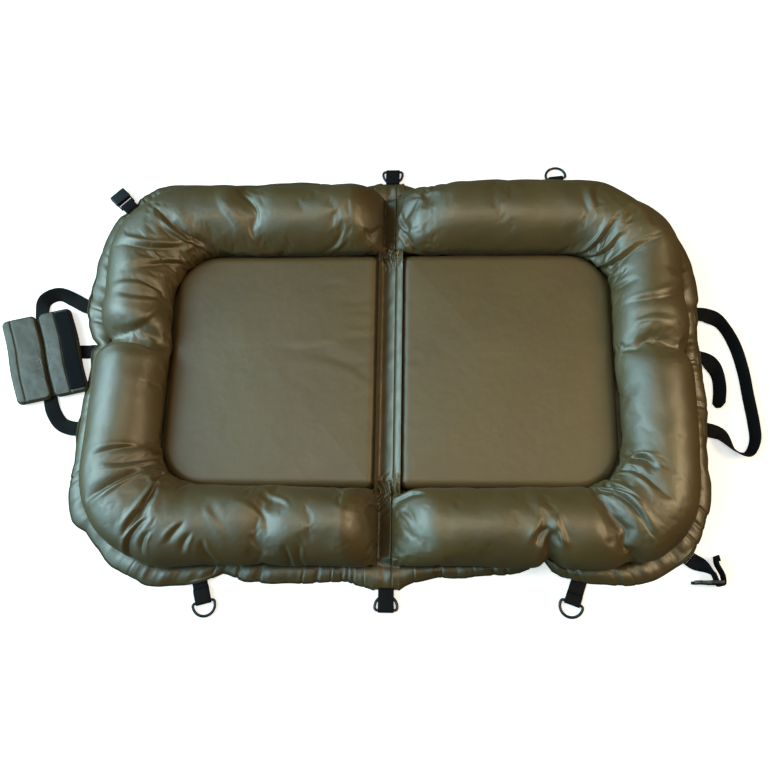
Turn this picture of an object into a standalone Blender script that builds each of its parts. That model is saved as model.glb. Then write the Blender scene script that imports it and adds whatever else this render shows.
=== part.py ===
"""Carp unhooking mat, opened flat: two padded halves with stuffed bolsters, joined by a fold strip.

Metres, +Z up. The origin is on the ground under the middle of the fold line. +X runs along the mat's
length to its right half, and +Y across it to the rear.
"""

import math

import bpy
import bmesh
from mathutils import Matrix, Vector

# Clearances
GAP = 0.0003
CUT_OVERRUN = 0.004

# Pads and fold
PAD_REACH_X = 0.375
PAD_REACH_Y = 0.207
PAD_CORNER = 0.070
PAD_FOLD_CORNER = 0.014
PAD_WALL = 0.022
PAD_EDGE = 0.0335
PAD_ROUND = 0.013
PAD_CROWN = 0.004
LEAST_CORNER = 0.001
FOLD_WIDTH = 0.039
FOLD_CLEARANCE = 0.0015

# Bolsters
BOLSTER_WIDTH = 0.118
BOLSTER_HEIGHT = 0.105
BOLSTER_CORNER = 0.150
BOLSTER_OVERHANG = 0.003
BOLSTER_TUCK = 0.007
BOLSTER_END_RUN = 0.060
BOLSTER_END_DRAW = 0.014
FILL_CLEARANCE = 0.0035
WIDEST_SHARE = 0.40
END_SHARE = 0.36
PINCH_RUN = 0.030

# Skirt, sheets and binding
SKIRT_X = 0.032
SKIRT_Y = 0.034
SKIRT_CORNER = 0.165
SHEET = 0.0012
FABRIC = 0.0010
BINDING = 0.0008
BINDING_FLAP = 0.008

# Webbing
WEB = 0.0015
WEB_WIDTH = 0.025
TAB_SEAT = 0.022
LOOP_LEAD = 0.009
TAB_RISE = 0.006

# D-rings and the tabs that hold them
RING_WIRE = 0.0045
RING_WIDTH = 0.040
RING_DEPTH = 0.0225
RING_ARM = 0.005
RING_CORNER = 0.004
RING_INSET_X = 0.2255
TAB_FRONT_LEFT = 0.034
TAB_FRONT_RIGHT = 0.028
TAB_REAR_RIGHT = 0.017
TAB_CENTRE_FRONT = 0.042
TAB_CENTRE_REAR = 0.034
LEAN_FRONT_LEFT = math.radians(15)
LEAN_FRONT_RIGHT = math.radians(-20)
LEAN_REAR_RIGHT = math.radians(6)

# Side-release buckle
BUCKLE_WIDTH = 0.0302
BUCKLE_FRAME = 0.0056
BAR = 0.0042
SLOT = 0.0086
SLOT_WIDTH = 0.0262
BUCKLE_ROUND = 0.0011
SOCKET_WIDTH = 0.0320
SOCKET_LENGTH = 0.0220
SOCKET_HEIGHT = 0.0110
SOCKET_WALL = 0.0019
SOCKET_FLOOR = 0.0022
SOCKET_ROUND = 0.0024
WINDOW_LENGTH = 0.0085
WINDOW_SETBACK = 0.0070
PLUG_BASE = 0.0080
PRONG_LENGTH = 0.0240
PRONG_REACH = 0.0139
PRONG_HEIGHT = 0.0046
TONGUE_WIDTH = 0.0056
FEMALE_TAB = 0.0225
PLUG_OUT_X = 0.0413
PLUG_OUT_Y = 0.0383
STRAP_BEND_X = 0.0092
STRAP_BEND_Y = 0.0130
STRAP_TAIL_X = 0.0030
STRAP_TAIL_Y = 0.0400
STRAP_ENTER = math.radians(199)
STRAP_LEAVE = math.radians(368)
HEM = 0.008

# Carrying handles and straps
LEFT_REAR_Y = 0.118
LEFT_FRONT_Y = -0.104
LEFT_HANDLE_REACH = 0.098
LEFT_HANDLE_LEAN = math.radians(-38)
RIGHT_REAR_Y = 0.104
RIGHT_FRONT_Y = -0.102
RIGHT_HANDLE_REACH = 0.071
RIGHT_HANDLE_LEAN = math.radians(62)
TAIL_Y = 0.024
TAIL_LENGTH = 0.090
TAIL_REACH = 0.023
TAIL_LEAN = math.radians(50)
MID_STRAP_Y = 0.037

# Grip wrap on the left handle
WRAP_OUT = 0.081
WRAP_PLACE_Y = 0.027
WRAP_TILT = math.radians(13)
WRAP_LENGTH = 0.160
WRAP_INNER = 0.058
WRAP_OUTER = 0.060
WRAP_THICK = 0.0090
WRAP_VALLEY = 0.006
WRAP_CORNER = 0.010
WRAP_ROUND = 0.0035
WRAP_EDGE_WALL = 0.0045
WRAP_SPINE_WIDTH = 0.016
WRAP_SPINE = 0.0010
TOUCH_STRIP = 0.0015
TOUCH_STRIP_WIDTH = 0.025
TOUCH_STRIP_MARGIN = 0.005

# Facets
FOLD_RUN_STEPS = 8
CORNER_STEPS = 5
SKIRT_CORNER_STEPS = 10
SIDE_STEPS = 12
ARCH_STEPS = 10
FILL_ARCH_STEPS = 6
ROUND_STEPS = 3
LOOP_STEPS = 8
TWIST_STEPS = 6
HEM_STEPS = 4
ROUTE_STEPS = 3
CROWN_STEPS = 8

# Places worked out from the sizes above
FOLD_HALF = FOLD_WIDTH / 2
SKIRT_REACH_X = PAD_REACH_X + BOLSTER_WIDTH + SKIRT_X
SKIRT_REACH_Y = PAD_REACH_Y + BOLSTER_WIDTH + SKIRT_Y
RING_PLACE_X = SKIRT_REACH_X - RING_INSET_X
WRAP_PLACE_X = -(SKIRT_REACH_X + WRAP_OUT)
ON_SHEET = SHEET + GAP
ON_STRIP = ON_SHEET + WEB / 2
ON_BINDING = ON_SHEET + BINDING + GAP + WEB / 2
LIP = GAP + BINDING
HINGE_OUT = LIP + GAP
HINGE_HEIGHT = ON_BINDING + WEB / 2
GROUND_WEB = GAP + WEB / 2
PAD_TOP = ON_SHEET + PAD_EDGE + PAD_CROWN
FOLD_HEIGHT = PAD_TOP + FOLD_CLEARANCE
RING_LOOP = RING_WIRE / 2 + GAP + WEB / 2
RING_HEIGHT = GROUND_WEB + RING_LOOP
RING_DROOP = math.asin((RING_HEIGHT - RING_WIRE / 2 - GAP) / RING_DEPTH)
BAR_REACH = math.hypot(BAR / 2, BUCKLE_FRAME / 2)
BUCKLE_LOOP = (BAR_REACH + GAP) / math.cos(math.pi / 2 / LOOP_STEPS) + WEB / 2
STRAP_LAYER = GROUND_WEB + WEB + GAP
WRAP_SPINE_BASE = STRAP_LAYER + WEB / 2 + GAP
WRAP_BASE = WRAP_SPINE_BASE + WRAP_SPINE + GAP
WRAP_TOP = WRAP_BASE + WRAP_THICK
FEMALE_HEIGHT = SOCKET_HEIGHT / 2 + GAP
MALE_HEIGHT = BUCKLE_WIDTH / 2 + GAP

# Pinches along a bolster: the share of its path from the front end, and the depth as a share of its height
right_pinch_shares = ((0.245, 0.20), (0.515, 0.16), (0.955, 0.10))
left_pinch_shares = ((0.12, 0.07), (0.53, 0.30), (0.84, 0.08))
# Where each ring of a pad's crown lies, as a share of the way in from its side
crown_shares = (0.19, 0.42, 0.70)
# A strap's route: the share of its reach out from the hinge, the share of the way between its seats (or of
# the tail's length), and the shares of the seat's height and of its full lean
left_rear_shares = (
    (0.00, 1.000, 1, 0),
    (0.19, 1.020, 1, 0),
    (0.45, 1.081, 0, 0.25),
    (0.71, 1.119, 0, 1),
    (0.95, 1.072, 0, 1),
)
left_front_shares = (
    (0.54, 0.135, 0, 0.25),
    (0.38, 0.043, 0, 0.25),
    (0.19, 0.007, 1, 0),
    (0.00, 0.000, 1, 0),
)
right_handle_shares = (
    (0.00, 1.000, 1, 0),
    (0.23, 0.978, 1, 0.25),
    (0.52, 0.893, 0, 1),
    (0.77, 0.709, 0, 1),
    (0.90, 0.485, 0, 1),
    (0.95, 0.267, 0, 1),
    (1.00, 0.058, 0, 1),
    (0.99, -0.097, 0, 1),
    (0.80, -0.206, 0, 1),
    (0.51, -0.170, 0, 1),
    (0.26, -0.041, 1, 0.25),
    (0.00, 0.000, 1, 0),
)
tail_shares = (
    (0.00, 0.000, 1, 0),
    (0.48, 0.089, 1, 0.33),
    (0.92, 0.333, 0, 1),
    (1.00, 0.644, 0, 1),
    (0.77, 1.000, 0, 1),
)
# Where the left handle passes under the wrap's spine, as shares of the wrap's length from its middle
under_wrap_shares = (0.55, 0.26, 0, -0.29, -0.50)
# Half of the plug's prongs and tongue: shares of PRONG_LENGTH and PRONG_REACH
prong_shares = (
    (0.00, 1.00),
    (0.28, 0.86),
    (0.52, 0.80),
    (0.54, 1.00),
    (0.74, 1.00),
    (0.93, 0.84),
    (1.00, 0.66),
    (0.95, 0.52),
    (0.50, 0.50),
    (0.14, 0.56),
)
tongue_share = 0.82
POINTED_SHARE = 0.35


def clear_scene():
    for obj in list(bpy.data.objects):
        bpy.data.objects.remove(obj, do_unlink=True)
    for collection in list(bpy.data.collections):
        bpy.data.collections.remove(collection)


def new_collection(name):
    collection = bpy.data.collections.new(name)
    bpy.context.scene.collection.children.link(collection)
    return collection


clear_scene()
PARTS = new_collection("unhooking_mat")
CUTTERS = new_collection("cutters")


def material(name, colour, roughness, metallic=0.0):
    """A plain surface of the part's colour."""
    made = bpy.data.materials.new(name)
    made.use_nodes = True
    shader = made.node_tree.nodes["Principled BSDF"]
    shader.inputs["Base Color"].default_value = (*colour, 1)
    shader.inputs["Roughness"].default_value = roughness
    shader.inputs["Metallic"].default_value = metallic
    return made


def body_empty(name, place, parent=None):
    """An empty on a joint's axis, which carries the pieces that move about it."""
    empty = bpy.data.objects.new(name, None)
    empty.location = place
    bpy.context.scene.collection.objects.link(empty)
    if parent is not None:
        empty.parent = parent
        empty.matrix_parent_inverse = Matrix.Translation(-world_place(parent))
    return empty


def world_place(empty):
    """Where a body's empty stands; the empties are never turned, and their inverses cancel."""
    return Vector(empty.location)


def add_object(name, data, look, carrier, frame=None):
    """Links a named piece, gives it its material and parents it where it stands."""
    obj = bpy.data.objects.new(name, data)
    PARTS.objects.link(obj)
    if data.materials:
        data.materials[0] = look
    else:
        data.materials.append(look)
    if frame is not None:
        obj.matrix_world = frame
    obj.parent = carrier
    obj.matrix_parent_inverse = Matrix.Translation(-world_place(carrier))
    return obj


def smooth(obj, angle=math.radians(40)):
    obj.data.shade_smooth()
    obj.data.set_sharp_from_angle(angle=angle)


def loft(rows, rings=False, cap_first=False, cap_last=False):
    """A mesh through rows of points. With rings, each row closes on itself."""
    bm = bmesh.new()
    made = [[bm.verts.new(point) for point in row] for row in rows]
    count = len(rows[0])
    last = count if rings else count - 1
    for a, b in zip(made, made[1:]):
        for k in range(last):
            n = (k + 1) % count
            bm.faces.new((a[k], a[n], b[n], b[k]))
    if cap_first:
        bm.faces.new(made[0])
    if cap_last:
        bm.faces.new(reversed(made[-1]))
    bmesh.ops.recalc_face_normals(bm, faces=bm.faces)
    mesh = bpy.data.meshes.new("loft")
    bm.to_mesh(mesh)
    bm.free()
    return mesh


def solidify(obj, thickness, offset):
    """Gives an open surface its thickness: offset -1 grows it inwards, 0 both ways."""
    shell = obj.modifiers.new("Thickness", "SOLIDIFY")
    shell.thickness = thickness
    shell.offset = offset
    return shell


# Plan outlines


def c_path(reach_x, reach_y, corner, start_x, side, corner_steps=CORNER_STEPS):
    """Plan points along one half's C, from the fold at the front round the end to the fold at the rear."""
    quarter = []
    run = reach_x - corner - start_x
    for k in range(FOLD_RUN_STEPS):
        along = 1 - math.cos(math.pi / 2 * k / FOLD_RUN_STEPS)
        quarter.append((start_x + run * along, reach_y))
    for k in range(corner_steps):
        turn = math.pi / 2 * k / corner_steps
        x = reach_x - corner + corner * math.sin(turn)
        quarter.append((x, reach_y - corner + corner * math.cos(turn)))
    rise = reach_y - corner
    for k in range(SIDE_STEPS // 2):
        quarter.append((reach_x, rise * (1 - 2 * k / SIDE_STEPS)))
    front = [Vector((side * x, -y, 0)) for x, y in quarter]
    rear = [Vector((side * x, y, 0)) for x, y in reversed(quarter)]
    return front + [Vector((side * reach_x, 0, 0))] + rear


def rectangle_ring(x_low, x_high, half_y, low_corner, high_corner, inset, z):
    """A rounded rectangle drawn in by inset, with one radius at each end."""
    points = []
    corners = (
        (x_high, -1, high_corner, -math.pi / 2),
        (x_high, 1, high_corner, 0),
        (x_low, 1, low_corner, math.pi / 2),
        (x_low, -1, low_corner, math.pi),
    )
    for x, side, radius, start in corners:
        r = max(radius - inset, LEAST_CORNER)
        inward = -1 if x == x_high else 1
        cx = x + inward * (inset + r)
        cy = side * (half_y - inset - r)
        for k in range(CORNER_STEPS + 1):
            turn = start + math.pi / 2 * k / CORNER_STEPS
            points.append(Vector((cx + r * math.cos(turn), cy + r * math.sin(turn), z)))
    return points


def cushion_rows(shape, draw_in, base, wall, edge, rounding, crown_insets, crown):
    """Rings up a cushion's side, round its edge and over its crown. draw_in makes a smaller one."""
    rows = [rectangle_ring(*shape, draw_in, base)]
    for k in range(ROUND_STEPS + 1):
        turn = math.pi / 2 * k / ROUND_STEPS
        inset = draw_in + rounding * (1 - math.cos(turn))
        z = wall + (edge - draw_in - wall) * math.sin(turn)
        rows.append(rectangle_ring(*shape, inset, z))
    full = crown_insets[-1] if crown_insets else 1
    for inset in crown_insets:
        rise = crown * (1 - (1 - inset / full) ** 2)
        rows.append(rectangle_ring(*shape, inset + draw_in, edge - draw_in + rise))
    return rows


# Sheets and binding


def ground_sheet(name, side, look, carrier):
    """The flat bottom cloth of one half, out to the skirt's edge."""
    outline = c_path(
        SKIRT_REACH_X, SKIRT_REACH_Y, SKIRT_CORNER, FOLD_HALF, side, SKIRT_CORNER_STEPS
    )
    curve = bpy.data.curves.new(name, "CURVE")
    curve.dimensions = "2D"
    curve.fill_mode = "BOTH"
    curve.extrude = SHEET / 2
    spline = curve.splines.new("POLY")
    spline.points.add(len(outline) - 1)
    for point, place in zip(spline.points, outline):
        point.co = (place.x, place.y, 0, 1)
    spline.use_cyclic_u = True
    return add_object(name, curve, look, carrier, Matrix.Translation((0, 0, SHEET / 2)))


def fold_strip(look, carrier):
    """The strip of cloth that joins the halves along the fold."""
    bm = bmesh.new()
    bmesh.ops.create_cube(bm, size=1)
    size = Matrix.Diagonal((FOLD_WIDTH - 2 * GAP, 2 * SKIRT_REACH_Y, SHEET, 1))
    bmesh.ops.transform(bm, matrix=Matrix.Translation((0, 0, SHEET / 2)) @ size, verts=bm.verts)
    mesh = bpy.data.meshes.new("fold_strip")
    bm.to_mesh(mesh)
    bm.free()
    return add_object("fold_strip", mesh, look, carrier)


def edge_binding(name, side, look, carrier):
    """Tape folded over the skirt's edge: a flap on top and a lip down the outside."""
    half = BINDING / 2
    flap = (SKIRT_REACH_X - BINDING_FLAP, SKIRT_REACH_Y - BINDING_FLAP, SKIRT_CORNER - BINDING_FLAP)
    lip = (SKIRT_REACH_X + GAP + half, SKIRT_REACH_Y + GAP + half, SKIRT_CORNER + GAP + half)
    start = FOLD_HALF + GAP
    inner = c_path(*flap, start, side, SKIRT_CORNER_STEPS)
    outer = c_path(*lip, start, side, SKIRT_CORNER_STEPS)
    top = Vector((0, 0, ON_SHEET + half))
    low = Vector((0, 0, half + GAP))
    rows = [[a + top, b + top, b + low] for a, b in zip(inner, outer)]
    obj = add_object(name, loft(rows), look, carrier)
    solidify(obj, BINDING, 0).use_even_offset = True
    return obj


# Bolsters


def pinch_factor(share, pinches, path_length):
    """How much of its height a bolster keeps at a share of its path."""
    kept = 1
    for place, depth in pinches:
        away = (share - place) * path_length / PINCH_RUN
        kept -= depth * math.exp(-away * away)
    return kept


def bolster_rows(side, pinches, arch_steps, inset, floor):
    """Cross-sections of a stuffed tube that lies on the sheet, along one half's C."""
    start = FOLD_HALF + GAP + inset
    inner = c_path(
        PAD_REACH_X - BOLSTER_OVERHANG,
        PAD_REACH_Y - BOLSTER_OVERHANG,
        PAD_CORNER - BOLSTER_OVERHANG,
        start,
        side,
    )
    outer = c_path(
        PAD_REACH_X + BOLSTER_WIDTH,
        PAD_REACH_Y + BOLSTER_WIDTH,
        BOLSTER_CORNER,
        start,
        side,
    )
    steps = [(b - a).length for a, b in zip(outer, outer[1:])]
    total = sum(steps)
    walked = 0
    rows = []
    for k, (a, b) in enumerate(zip(inner, outer)):
        if k:
            walked += steps[k - 1]
        across = (b - a).normalized()
        from_end = min(walked, total - walked) / BOLSTER_END_RUN
        swell = math.sqrt(max(0, 1 - max(0, 1 - from_end) ** 2))
        full = END_SHARE + (1 - END_SHARE) * swell
        kept = pinch_factor(walked / total, pinches, total)
        draw = BOLSTER_END_DRAW * (1 - swell) + inset
        squeeze = (1 - kept) * BOLSTER_WIDTH / 2
        low = a + across * draw
        high = b - across * (draw + squeeze)
        top = ON_SHEET + BOLSTER_HEIGHT * full * kept - inset
        middle = ON_SHEET + BOLSTER_HEIGHT * full * WIDEST_SHARE
        row = [low + across * BOLSTER_TUCK + Vector((0, 0, floor))]
        for n in range(arch_steps + 1):
            turn = math.pi * n / arch_steps
            point = low.lerp(high, (1 - math.cos(turn)) / 2)
            point.z = middle + (top - middle) * math.sin(turn)
            row.append(point)
        row.append(high - across * BOLSTER_TUCK + Vector((0, 0, floor)))
        rows.append(row)
    return rows


def bolster_cover(name, side, pinches, look, carrier):
    """The stuffed bolster's skin, open underneath where it is sewn to the ground sheet."""
    rows = bolster_rows(side, pinches, ARCH_STEPS, 0, ON_SHEET)
    obj = add_object(name, loft(rows, cap_first=True, cap_last=True), look, carrier)
    solidify(obj, FABRIC, -1)
    smooth(obj)
    return obj


def bolster_fill(name, side, pinches, look, carrier):
    """The loose filling inside a bolster, as the space that it takes."""
    rows = bolster_rows(side, pinches, FILL_ARCH_STEPS, FILL_CLEARANCE, ON_SHEET)
    mesh = loft(rows, rings=True, cap_first=True, cap_last=True)
    obj = add_object(name, mesh, look, carrier)
    smooth(obj)
    return obj


# Pads


def pad_shape():
    return (FOLD_HALF, PAD_REACH_X, PAD_REACH_Y, PAD_FOLD_CORNER, PAD_CORNER)


def place_on(side):
    """The left half's pad is the right one's, turned half a turn about the vertical."""
    return Matrix.Rotation(math.pi if side < 0 else 0, 4, "Z")


def crown_insets():
    return [PAD_REACH_Y * share for share in crown_shares]


def pad_cover(name, side, look, carrier):
    """The pad's upper skin: walls, rounded edge and crowned top."""
    wall, edge = ON_SHEET + PAD_WALL, ON_SHEET + PAD_EDGE
    rows = cushion_rows(
        pad_shape(), 0, ON_SHEET, wall, edge, PAD_ROUND, crown_insets(), PAD_CROWN
    )
    obj = add_object(name, loft(rows, rings=True, cap_last=True), look, carrier, place_on(side))
    solidify(obj, FABRIC, -1)
    smooth(obj)
    return obj


def pad_foam(name, side, look, carrier):
    """The foam slab inside a pad."""
    draw_in = FABRIC + 2 * GAP
    wall, edge = ON_SHEET + PAD_WALL, ON_SHEET + PAD_EDGE
    rows = cushion_rows(pad_shape(), draw_in, ON_SHEET, wall, edge, PAD_ROUND, (), 0)
    mesh = loft(rows, rings=True, cap_first=True, cap_last=True)
    obj = add_object(name, mesh, look, carrier, place_on(side))
    smooth(obj)
    return obj


# Webbing


def ribbon(name, centres, halves, look, carrier, frame=None):
    """Flat webbing along a line of centres, with the half-width vector at each."""
    rows = [[c - h, c + h] for c, h in zip(centres, halves)]
    obj = add_object(name, loft(rows), look, carrier, frame)
    solidify(obj, WEB, 0)
    return obj


def spline_points(points, steps):
    """Points on a smooth curve through the given ones."""
    line = []
    last = len(points) - 1
    for k in range(last):
        p0 = points[max(k - 1, 0)]
        p1, p2 = points[k], points[k + 1]
        p3 = points[min(k + 2, last)]
        for n in range(steps):
            t = n / steps
            line.append(
                0.5
                * (
                    2 * p1
                    + (p2 - p0) * t
                    + (2 * p0 - 5 * p1 + 4 * p2 - p3) * t**2
                    + (3 * p1 - p0 - 3 * p2 + p3) * t**3
                )
            )
    return line + [points[-1]]


def straight_points(points, steps):
    """As many points as spline_points gives, straight from each given one to the next."""
    line = [a.lerp(b, n / steps) for a, b in zip(points, points[1:]) for n in range(steps)]
    return line + [points[-1]]


def square_off(halves, places, end_half):
    """Turns the half-widths near a sewn end towards the seam's own, fully at the end itself."""
    for k, place in enumerate(places):
        halves[place] = end_half.lerp(halves[place], k / ROUTE_STEPS)


def banked_ribbon(name, route, first_half, last_half, look, carrier):
    """Webbing that lies flat or leans: each route point is x, y, height of the lower edge, lean."""
    plan = spline_points([Vector((x, y, 0)) for x, y, _, _ in route], ROUTE_STEPS)
    poses = straight_points([Vector((z, lean)) for _, _, z, lean in route], ROUTE_STEPS)
    centres, halves = [], []
    for k, (point, (low, lean)) in enumerate(zip(plan, poses)):
        along = (plan[min(k + 1, len(plan) - 1)] - plan[max(k - 1, 0)]).normalized()
        side = Vector((-along.y, along.x, 0))
        half = (side * math.cos(lean) + Vector((0, 0, math.sin(lean)))) * WEB_WIDTH / 2
        lift = abs(half.z) + WEB / 2 * math.cos(lean)
        centres.append(Vector((point.x, point.y, low + lift)))
        halves.append(half)
    square_off(halves, range(ROUTE_STEPS), first_half)
    if last_half is None:
        halves[-1] *= POINTED_SHARE
    else:
        square_off(halves, range(-1, -ROUTE_STEPS - 1, -1), last_half)
    return ribbon(name, centres, halves, look, carrier)


def tab_frame(x, y, heading):
    """A tab's own frame: +X out from the skirt's edge, +Z up."""
    return Matrix.Translation((x, y, 0)) @ Matrix.Rotation(heading, 4, "Z")


def loop_line(seat_height, bar_out, bar_height, radius, clear_out, tuck):
    """A tab's centreline from the skirt, out over the bar, round it and back underneath."""
    over = bar_height + radius
    start = bar_out - LOOP_LEAD / 2
    rise = min(TAB_RISE, (start - clear_out) / 2)
    line = [
        (-TAB_SEAT, seat_height),
        (clear_out, seat_height),
        (clear_out + rise, min(over, seat_height + rise)),
        (start, over),
    ]
    for k in range(LOOP_STEPS + 1):
        turn = math.pi / 2 - math.pi * k / LOOP_STEPS
        line.append((bar_out + radius * math.cos(turn), bar_height + radius * math.sin(turn)))
    line.append((bar_out - tuck, bar_height - radius))
    return [Vector((x, 0, z)) for x, z in line]


def loop_tab(
    name, frame, bar_out, bar_height, radius, lean, look, carrier, seat_height=ON_BINDING, tuck=None
):
    """Webbing sewn on the skirt and looped round a bar. The lower layer ends short of the skirt."""
    clear_out = HINGE_OUT + WEB_WIDTH / 2 * math.tan(abs(lean)) + GAP
    if tuck is None:
        tuck = bar_out - clear_out
    line = loop_line(seat_height, bar_out, bar_height, radius, clear_out, tuck)
    halves = [Vector((0, WEB_WIDTH / 2, 0))] * len(line)
    return ribbon(name, line, halves, look, carrier, frame)


def seat_tab(name, frame, look, carrier):
    """The part of a strap that is sewn down on the skirt, up to its edge."""
    line = [Vector((-TAB_SEAT, 0, ON_BINDING)), Vector((LIP, 0, ON_BINDING))]
    halves = [Vector((0, WEB_WIDTH / 2, 0))] * 2
    return ribbon(name, line, halves, look, carrier, frame)


# D-rings


def d_ring(name, frame, look, carrier):
    """A moulded D-ring: straight bar on the frame's Y axis, rounded out along +X."""
    curve = bpy.data.curves.new(name, "CURVE")
    curve.dimensions = "3D"
    curve.bevel_depth = RING_WIRE / 2
    curve.bevel_resolution = 2
    half = (RING_WIDTH - RING_WIRE) / 2
    points = [(0, -half + RING_CORNER), (RING_CORNER, -half)]
    for k in range(CROWN_STEPS + 1):
        turn = math.pi * k / CROWN_STEPS
        x = RING_ARM + (RING_DEPTH - RING_ARM) * math.sin(turn)
        points.append((x, -half * math.cos(turn)))
    points += [(RING_CORNER, half), (0, half - RING_CORNER)]
    spline = curve.splines.new("POLY")
    spline.points.add(len(points) - 1)
    for point, (x, y) in zip(spline.points, points):
        point.co = (x, y, 0, 1)
    spline.use_cyclic_u = True
    return add_object(name, curve, look, carrier, frame)


# Side-release buckle


def block(name, low, high, rounding, collection):
    """A box between two corners, with rounded edges."""
    bm = bmesh.new()
    bmesh.ops.create_cube(bm, size=1)
    size = [b - a for a, b in zip(low, high)]
    middle = [(a + b) / 2 for a, b in zip(low, high)]
    shape = Matrix.Translation(middle) @ Matrix.Diagonal((*size, 1))
    bmesh.ops.transform(bm, matrix=shape, verts=bm.verts)
    mesh = bpy.data.meshes.new(name)
    bm.to_mesh(mesh)
    bm.free()
    obj = bpy.data.objects.new(name, mesh)
    collection.objects.link(obj)
    if rounding:
        bevel = obj.modifiers.new("Round", "BEVEL")
        bevel.width = rounding
        bevel.segments = 2
    return obj


def cutter(name, low, high, frame, rounding=0):
    obj = block(name, low, high, rounding, CUTTERS)
    obj.matrix_world = frame
    hide_guide(obj)
    return obj


def hide_guide(obj):
    obj.hide_render = True
    obj.display_type = "WIRE"


def join_or_cut(obj, operation, other):
    change = obj.modifiers.new(operation.title(), "BOOLEAN")
    change.operation = operation
    change.object = other


def buckle_frame(name, length, frame, look, carrier):
    """The flat frame that both buckle halves have behind them, with its web bar on the Y axis."""
    low = (-BAR / 2, -BUCKLE_WIDTH / 2, -BUCKLE_FRAME / 2)
    high = (length, BUCKLE_WIDTH / 2, BUCKLE_FRAME / 2)
    obj = block(name, low, high, BUCKLE_ROUND, PARTS)
    obj.matrix_world = frame
    obj.parent = carrier
    obj.matrix_parent_inverse = Matrix.Translation(-world_place(carrier))
    obj.data.materials.append(look)
    return obj


def web_slot(name, frame):
    half = SLOT_WIDTH / 2
    deep = BUCKLE_FRAME
    return cutter(name, (BAR / 2, -half, -deep), (BAR / 2 + SLOT, half, deep), frame)


def buckle_female(frame, look, carrier):
    """Socket half: a rounded housing with its mouth, side windows and web bar."""
    start = BAR / 2 + SLOT
    obj = buckle_frame("buckle_female", start + SOCKET_WALL, frame, look, carrier)
    half, tall = SOCKET_WIDTH / 2, SOCKET_HEIGHT / 2
    end = start + SOCKET_LENGTH
    housing = cutter(
        "socket_housing", (start, -half, -tall), (end, half, tall), frame, SOCKET_ROUND
    )
    inside, roof = half - SOCKET_WALL, tall - SOCKET_FLOOR
    mouth = cutter(
        "socket_mouth",
        (start + SOCKET_WALL, -inside, -roof),
        (end + CUT_OVERRUN, inside, roof),
        frame,
    )
    near = end - WINDOW_SETBACK - WINDOW_LENGTH
    windows = cutter(
        "socket_windows",
        (near, -half - CUT_OVERRUN, -roof),
        (near + WINDOW_LENGTH, half + CUT_OVERRUN, roof),
        frame,
    )
    join_or_cut(obj, "UNION", housing)
    join_or_cut(obj, "DIFFERENCE", mouth)
    join_or_cut(obj, "DIFFERENCE", windows)
    join_or_cut(obj, "DIFFERENCE", web_slot("socket_web_slot", frame))
    return obj


def prong_plate(start, frame):
    """The plug's two springy prongs and the tongue between them, cut from one plate."""
    half = [(start + PRONG_LENGTH * a, PRONG_REACH * b) for a, b in prong_shares]
    root = start + PRONG_LENGTH * prong_shares[-1][0]
    tip = start + PRONG_LENGTH * tongue_share
    tongue = TONGUE_WIDTH / 2
    half += [(root, tongue), (tip - tongue / 2, tongue), (tip, tongue / 2)]
    outline = half + [(x, -y) for x, y in reversed(half)]
    back = start - PLUG_BASE / 2
    outline += [(back, -PRONG_REACH), (back, PRONG_REACH)]
    bm = bmesh.new()
    bm.faces.new([bm.verts.new((x, y, 0)) for x, y in outline])
    mesh = bpy.data.meshes.new("plug_prongs")
    bm.to_mesh(mesh)
    bm.free()
    obj = bpy.data.objects.new("plug_prongs", mesh)
    CUTTERS.objects.link(obj)
    obj.matrix_world = frame
    hide_guide(obj)
    solidify(obj, PRONG_HEIGHT, 0)
    return obj


def buckle_male(frame, look, carrier):
    """Plug half: frame, web bar, prongs with their release shoulders, and a guide tongue."""
    start = BAR / 2 + SLOT + PLUG_BASE
    obj = buckle_frame("buckle_male", start, frame, look, carrier)
    join_or_cut(obj, "UNION", prong_plate(start, frame))
    join_or_cut(obj, "DIFFERENCE", web_slot("plug_web_slot", frame))
    return obj


# Grip wrap


def wrap_frame():
    place = Matrix.Translation((WRAP_PLACE_X, WRAP_PLACE_Y, 0))
    return place @ Matrix.Rotation(WRAP_TILT, 4, "Z")


def wrap_panel(name, low, high, look, carrier):
    """One padded leaf of the grip wrap."""
    shape = (low, high, WRAP_LENGTH / 2, WRAP_CORNER, WRAP_CORNER)
    wall = WRAP_BASE + WRAP_EDGE_WALL
    rows = cushion_rows(shape, 0, WRAP_BASE, wall, WRAP_TOP, WRAP_ROUND, (), 0)
    mesh = loft(rows, rings=True, cap_first=True, cap_last=True)
    obj = add_object(name, mesh, look, carrier, wrap_frame())
    smooth(obj)
    return obj


def wrap_strip(name, low, high, base, thickness, length, look, carrier):
    """A thin flat strip along the wrap."""
    obj = block(name, (low, -length / 2, base), (high, length / 2, base + thickness), 0, PARTS)
    obj.matrix_world = wrap_frame()
    obj.parent = carrier
    obj.matrix_parent_inverse = Matrix.Translation(-world_place(carrier))
    obj.data.materials.append(look)
    return obj


# Routes of the handles and straps: x, y, height of the lower edge, lean


def route(shares, side, reach, first_y, last_y, full_lean):
    """A strap's route points from its shares, on one side of the mat, between two places along the edge."""
    out = SKIRT_REACH_X + HINGE_OUT
    seat = ON_BINDING - WEB / 2
    points = []
    for away, along, seated, lean in shares:
        x = side * (out + reach * away)
        y = first_y + (last_y - first_y) * along
        points.append((x, y, GAP + (seat - GAP) * seated, full_lean * lean))
    return points


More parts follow.
